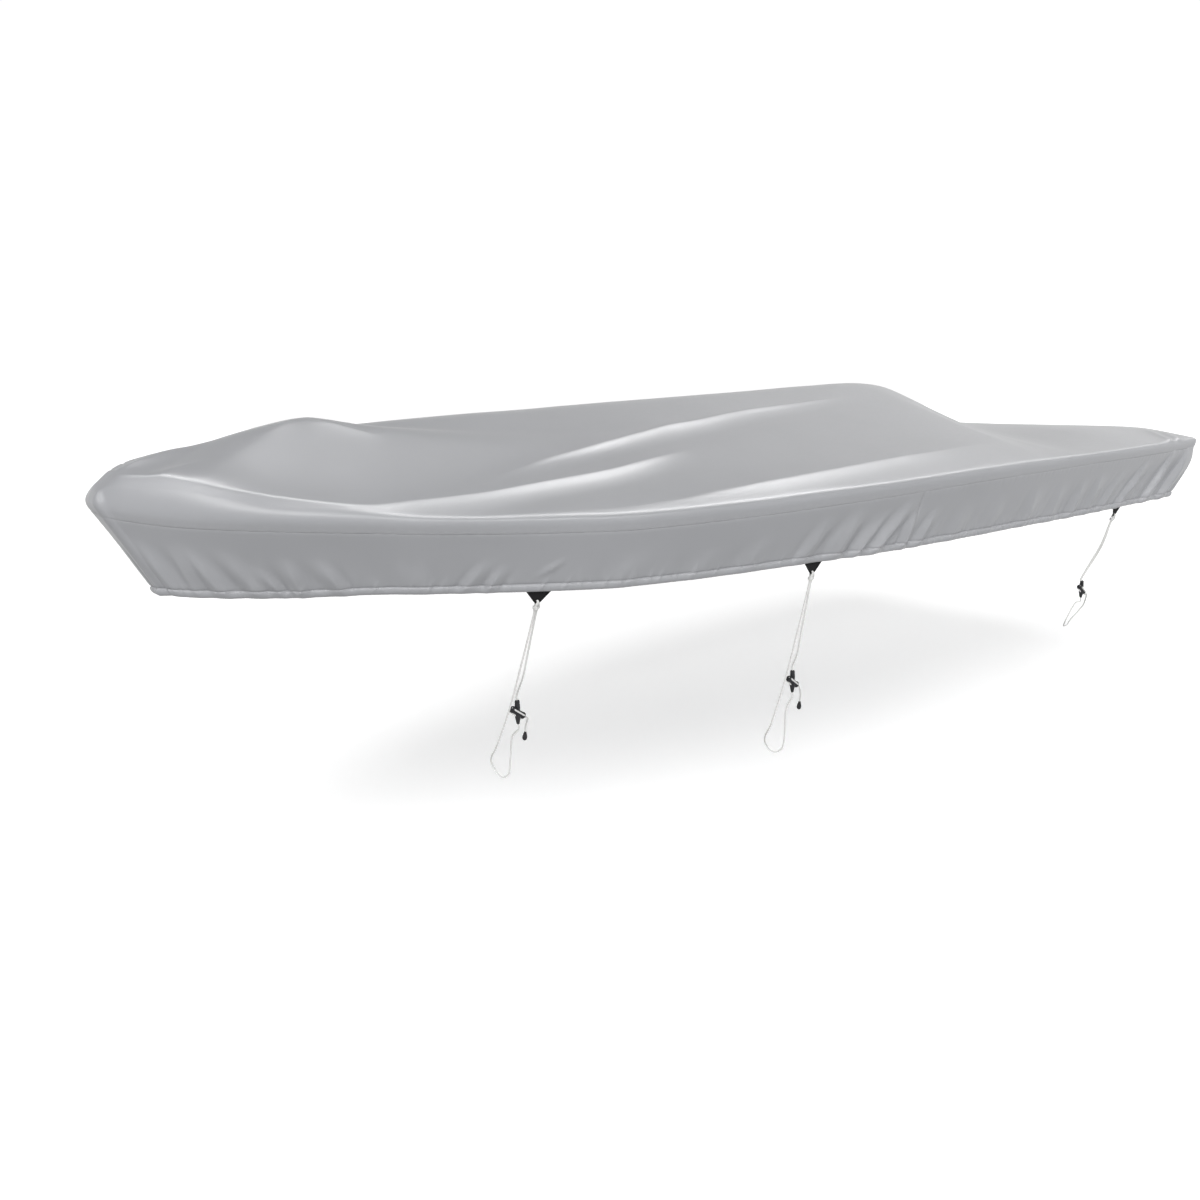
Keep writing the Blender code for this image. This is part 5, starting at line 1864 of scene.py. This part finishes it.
def make_stitch_tree():
    """A stitch at every pitch along the edges of a mesh, whose points know their facing."""
    tree = bpy.data.node_groups.new("stitch_row", "GeometryNodeTree")
    sockets = tree.interface
    sockets.new_socket("Geometry", in_out="INPUT", socket_type="NodeSocketGeometry")
    values = (("Pitch", "Float", STITCH_PITCH), ("Length", "Float", STITCH_SIZE[0]),
              ("Width", "Float", STITCH_SIZE[1]), ("Height", "Float", STITCH_SIZE[2]),
              ("Wander", "Float", 0.12), ("Seed", "Int", STITCH_SEED))
    for name, kind, value in values:
        socket = sockets.new_socket(name, in_out="INPUT", socket_type=f"NodeSocket{kind}")
        socket.default_value = value
    sockets.new_socket("Thread", in_out="INPUT", socket_type="NodeSocketMaterial")
    sockets.new_socket("Geometry", in_out="OUTPUT", socket_type="NodeSocketGeometry")
    given = add_node(tree, "NodeGroupInput")
    result = add_node(tree, "NodeGroupOutput")

    curve = add_node(tree, "GeometryNodeMeshToCurve")
    link(tree, given, "Geometry", curve, "Mesh")
    spaced = add_node(tree, "GeometryNodeResampleCurve", {"mode": "LENGTH"})
    link(tree, curve, "Curve", spaced, "Curve")
    link(tree, given, "Pitch", spaced, "Length")

    tangent = add_node(tree, "GeometryNodeInputTangent")
    facing = add_node(tree, "GeometryNodeInputNamedAttribute", {"data_type": "FLOAT_VECTOR"},
                      Name="facing")
    lie = add_node(tree, "FunctionNodeAxesToRotation", {"primary_axis": "Z",
                                                        "secondary_axis": "X"})
    link(tree, facing, "Attribute", lie, "Primary Axis")
    link(tree, tangent, "Tangent", lie, "Secondary Axis")
    wander = add_node(tree, "FunctionNodeRandomValue", {"data_type": "FLOAT"})
    least = add_node(tree, "ShaderNodeMath", {"operation": "MULTIPLY"})
    least.inputs[1].default_value = -1.0
    link(tree, given, "Wander", least, 0)
    link(tree, least, 0, wander, 2)
    link(tree, given, "Wander", wander, 3)
    link(tree, given, "Seed", wander, "Seed")
    turned = add_node(tree, "ShaderNodeCombineXYZ")
    link(tree, wander, 1, turned, "Z")
    by = add_node(tree, "FunctionNodeEulerToRotation")
    link(tree, turned, 0, by, 0)
    rotate = add_node(tree, "FunctionNodeRotateRotation", {"rotation_space": "LOCAL"})
    link(tree, lie, 0, rotate, 0)
    link(tree, by, 0, rotate, 1)

    stitch = add_node(tree, "GeometryNodeMeshIcoSphere", Radius=0.5, Subdivisions=1)
    size = add_node(tree, "ShaderNodeCombineXYZ")
    for socket, axis in (("Length", "X"), ("Width", "Y"), ("Height", "Z")):
        link(tree, given, socket, size, axis)
    placed = add_node(tree, "GeometryNodeInstanceOnPoints")
    link(tree, spaced, "Curve", placed, "Points")
    link(tree, stitch, "Mesh", placed, "Instance")
    link(tree, rotate, 0, placed, "Rotation")
    link(tree, size, 0, placed, "Scale")
    real = add_node(tree, "GeometryNodeRealizeInstances")
    link(tree, placed, "Instances", real, "Geometry")
    coloured = add_node(tree, "GeometryNodeSetMaterial")
    link(tree, real, 0, coloured, "Geometry")
    link(tree, given, "Thread", coloured, "Material")
    link(tree, coloured, "Geometry", result, 0)
    return tree


grey_thread = make_thread_material("grey_thread", (0.31, 0.315, 0.32))
black_thread = make_thread_material("black_thread", (0.045, 0.045, 0.048))
stitch_tree = make_stitch_tree()
print("stitch tree:", len(stitch_tree.nodes), "nodes")

# %% Laying the stitches
def lay_stitches(name, lines, thread, slot):
    """Stitches along lines. Each line is an array of points and the way the cloth faces there."""
    verts, edges, facings = [], [], []
    for points, facing in lines:
        first = len(verts)
        facing = np.broadcast_to(facing, points.shape)
        verts += [tuple(p) for p in points + facing * STITCH_LIFT]
        edges += [(first + i, first + i + 1) for i in range(len(points) - 1)]
        facings.append(facing)
    path = bpy.data.meshes.new(f"{name}_path")
    path.from_pydata(verts, edges, [])
    layer = path.attributes.new("facing", "FLOAT_VECTOR", "POINT")
    layer.data.foreach_set("vector", np.concatenate(facings).astype(np.float32).reshape(-1))
    carrier = bpy.data.objects.new(f"{name}_path", path)
    bpy.context.scene.collection.objects.link(carrier)
    modifier = carrier.modifiers.new("stitches", "NODES")
    modifier.node_group = stitch_tree
    for socket in stitch_tree.interface.items_tree:
        if socket.name == "Thread":
            modifier[socket.identifier] = thread
    bpy.context.view_layer.update()
    seen = carrier.evaluated_get(bpy.context.evaluated_depsgraph_get())
    mesh = bpy.data.meshes.new_from_object(seen)
    bpy.data.objects.remove(carrier)
    mesh.materials.clear()
    mesh.name = name
    print(name, len(mesh.polygons), "faces")
    return settle(link_object(name, mesh, thread), slot)


def sheet_facing(points, out):
    """The way a grid of points faces, on the outer side."""
    facing = unit(np.cross(np.gradient(points, axis=1), np.gradient(points, axis=0)))
    return facing * np.sign(np.sum(facing * out, axis=-1, keepdims=True))


HEM_STITCH_ABOVE = 0.0255
SEAM_STITCH_COLUMNS = {"bow": (1, 2, -2, -3), "port": (1, 2), "starboard": (-2, -3)}
TAB_STITCH = 0.0034


def tab_lines(points, facing):
    """The two rows of stitches along the folded sides of a tab."""
    lines = []
    halves = np.linalg.norm(points[:, -1] - points[:, 0], axis=1) / 2
    for way in (-1, 1):
        line = []
        for row, half in zip(points, halves):
            if half < 3 * TAB_STITCH:
                continue
            place = (1.0 + way * (1.0 - TAB_STITCH / half)) / 2 * TAB_COLUMNS
            low = int(place)
            line.append(row[low] * (low + 1 - place) + row[low + 1] * (place - low))
        lines.append((np.array(line), facing))
    return lines


hem_row = ([above for above, _ in HEM_ROWS].index(HEM_STITCH_ABOVE)
           - len(HEM_ROWS) - len(HEM_BACK))
hem_lines, seam_lines = [], [(np.vstack([lap_line, lap_line[:1]]),
                              np.vstack([lap_facing, lap_facing[:1]]))]
for name, (_, points, out) in skirts.items():
    facing = sheet_facing(points, out)
    hem_lines.append((points[hem_row], facing[hem_row]))
    for k in SEAM_STITCH_COLUMNS.get(name, ()):
        rows = slice(len(SEAM_ROWS) - 2, -len(HEM_BACK))
        seam_lines.append((points[rows, k], facing[rows, k]))
hem_stitches = lay_stitches("hem_stitches", hem_lines, grey_thread, "cover_cloth")
seam_stitches = lay_stitches("seam_stitches", seam_lines, grey_thread, "cover_cloth")
tab_rows = [line for tab in tabs.values() for line in tab_lines(*tab)]
tab_stitches = lay_stitches("tab_stitches", tab_rows, black_thread, "webbing")

# %% [markdown]
# ## Floor and light
#
# A plain pale floor lies well below the cover, where the ground would be, because the cover is
# held up by what it covers. It glows a little, so that its shadow stays light. All lamps are far
# away, which makes their light the same from bow to stern. An arc of narrow ones stands over the
# cover and two more beside it. They give only shine, and each one makes the bright line on the
# crests of one stretch. The ones from the camera's side give the skirt and its folds their tone.
# The world is a white backdrop behind the cover, and a dimmer room in front of it.

# %% Stage
GROUND = -1.476
FLOOR_SIZE = 60.0
FLOOR_COLOUR = (0.80, 0.80, 0.80)
FAR_LAMPS = (
    # name, direction, strength, width in degrees, what it gives
    ("over_nose", (-0.24, -0.03, 0.97), 0.70, 12.0, "shine"),
    ("over_bow", (-0.07, -0.09, 0.99), 0.62, 12.0, "shine"),
    ("over_shoulder", (0.16, -0.10, 0.98), 0.60, 12.0, "shine"),
    ("over_middle", (0.44, 0.00, 0.90), 0.50, 12.0, "shine"),
    ("over_waist", (0.61, 0.05, 0.79), 0.46, 12.0, "shine"),
    ("over_aft", (0.76, 0.06, 0.65), 0.18, 12.0, "shine"),
    ("over_stern", (0.88, 0.03, 0.48), 0.10, 12.0, "shine"),
    ("edge_bow", (-0.30, -0.64, 0.66), 0.42, 14.0, "shine"),
    ("edge_middle", (0.10, -0.74, 0.63), 0.38, 12.0, "shine"),
    ("camera_side", (-0.50, -0.52, 0.69), 0.45, 30.0, "both"),
    ("fill_high", (-0.50, -0.52, 0.69), 1.10, 24.0, "tone"),
    ("fill_low", (-0.40, -0.88, 0.25), 1.80, 24.0, "tone"),
)
BACKDROP = (0.71, 0.70)
ROOM = 0.58
WORLD_LEVELS = (0.85, 1.02, 0.15)
UPPER_STOPS, LOWER_STOPS, ROOM_STOPS = (0.4, 1.0), (-0.30, -0.12), (0.0, 0.6)
FLOOR_GLOW = 0.40


def make_floor():
    """The floor, a single large plane."""
    material, _, shader = new_material("pale_floor", FLOOR_COLOUR, 0.85)
    shader.inputs["Specular IOR Level"].default_value = 0.2
    shader.inputs["Emission Color"].default_value = (1.0, 1.0, 1.0, 1.0)
    shader.inputs["Emission Strength"].default_value = FLOOR_GLOW
    half = FLOOR_SIZE / 2
    mesh = bpy.data.meshes.new("floor")
    mesh.from_pydata([(-half, -half, GROUND), (half, -half, GROUND), (half, half, GROUND),
                      (-half, half, GROUND)], [], [(0, 1, 2, 3)])
    obj = link_object("floor", mesh, material, smooth=False)
    obj.visible_diffuse = False
    obj.visible_glossy = False
    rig.stage(obj)
    return obj


def add_sky_lamp(name, direction, strength, spread, gives):
    """A lamp so far away that its light is even all over. spread is how wide it is, in degrees."""
    data = bpy.data.lights.new(name, "SUN")
    data.energy = strength
    data.angle = math.radians(spread)
    obj = bpy.data.objects.new(name, data)
    bpy.context.scene.collection.objects.link(obj)
    obj.rotation_euler = Vector(direction).to_track_quat("Z", "Y").to_euler()
    obj.visible_glossy = gives != "tone"
    obj.visible_diffuse = gives != "shine"
    return obj


def make_world(below, level, above):
    """A pale world: one strength under the horizon, one at it and one straight above."""
    world = bpy.data.worlds.new("studio")
    world.use_nodes = True
    tree = world.node_tree
    place = add_node(tree, "ShaderNodeTexCoord")
    parts = add_node(tree, "ShaderNodeSeparateXYZ")
    link(tree, place, "Generated", parts, 0)
    upper = range_node(tree, parts.outputs["Z"], UPPER_STOPS, level, above)
    lower = range_node(tree, parts.outputs["Z"], LOWER_STOPS, below / level, 1.0)
    behind = math_node(tree, "ADD",
                       math_node(tree, "MULTIPLY", parts.outputs["X"], BACKDROP[0]),
                       math_node(tree, "MULTIPLY", parts.outputs["Y"], BACKDROP[1]))
    room = range_node(tree, behind, ROOM_STOPS, ROOM, 1.0)
    strength = math_node(tree, "MULTIPLY", upper, lower)
    strength = math_node(tree, "MULTIPLY", strength, room)
    tree.links.new(strength, tree.nodes["Background"].inputs["Strength"])
    tree.nodes["Background"].inputs["Color"].default_value = (1.0, 1.0, 1.0, 1.0)
    bpy.context.scene.world = world


make_floor()
for row in FAR_LAMPS:
    add_sky_lamp(*row)
make_world(*WORLD_LEVELS)
bpy.context.scene.view_settings.view_transform = "Standard"
print("stage set")

# %% [markdown]
# ## Sizes, and the end
#
# The box of the frame and the box of what was made are written out side by side, so that they
# can be compared.

# %% Finish
bpy.context.view_layer.update()
made_low, made_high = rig.bounds()
with open("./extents.json", "w") as out:
    json.dump({"cad": [list(cad_low), list(cad_high)],
               "visual": [list(made_low), list(made_high)]}, out)
print("made:", [round(v, 3) for v in made_low], [round(v, 3) for v in made_high])
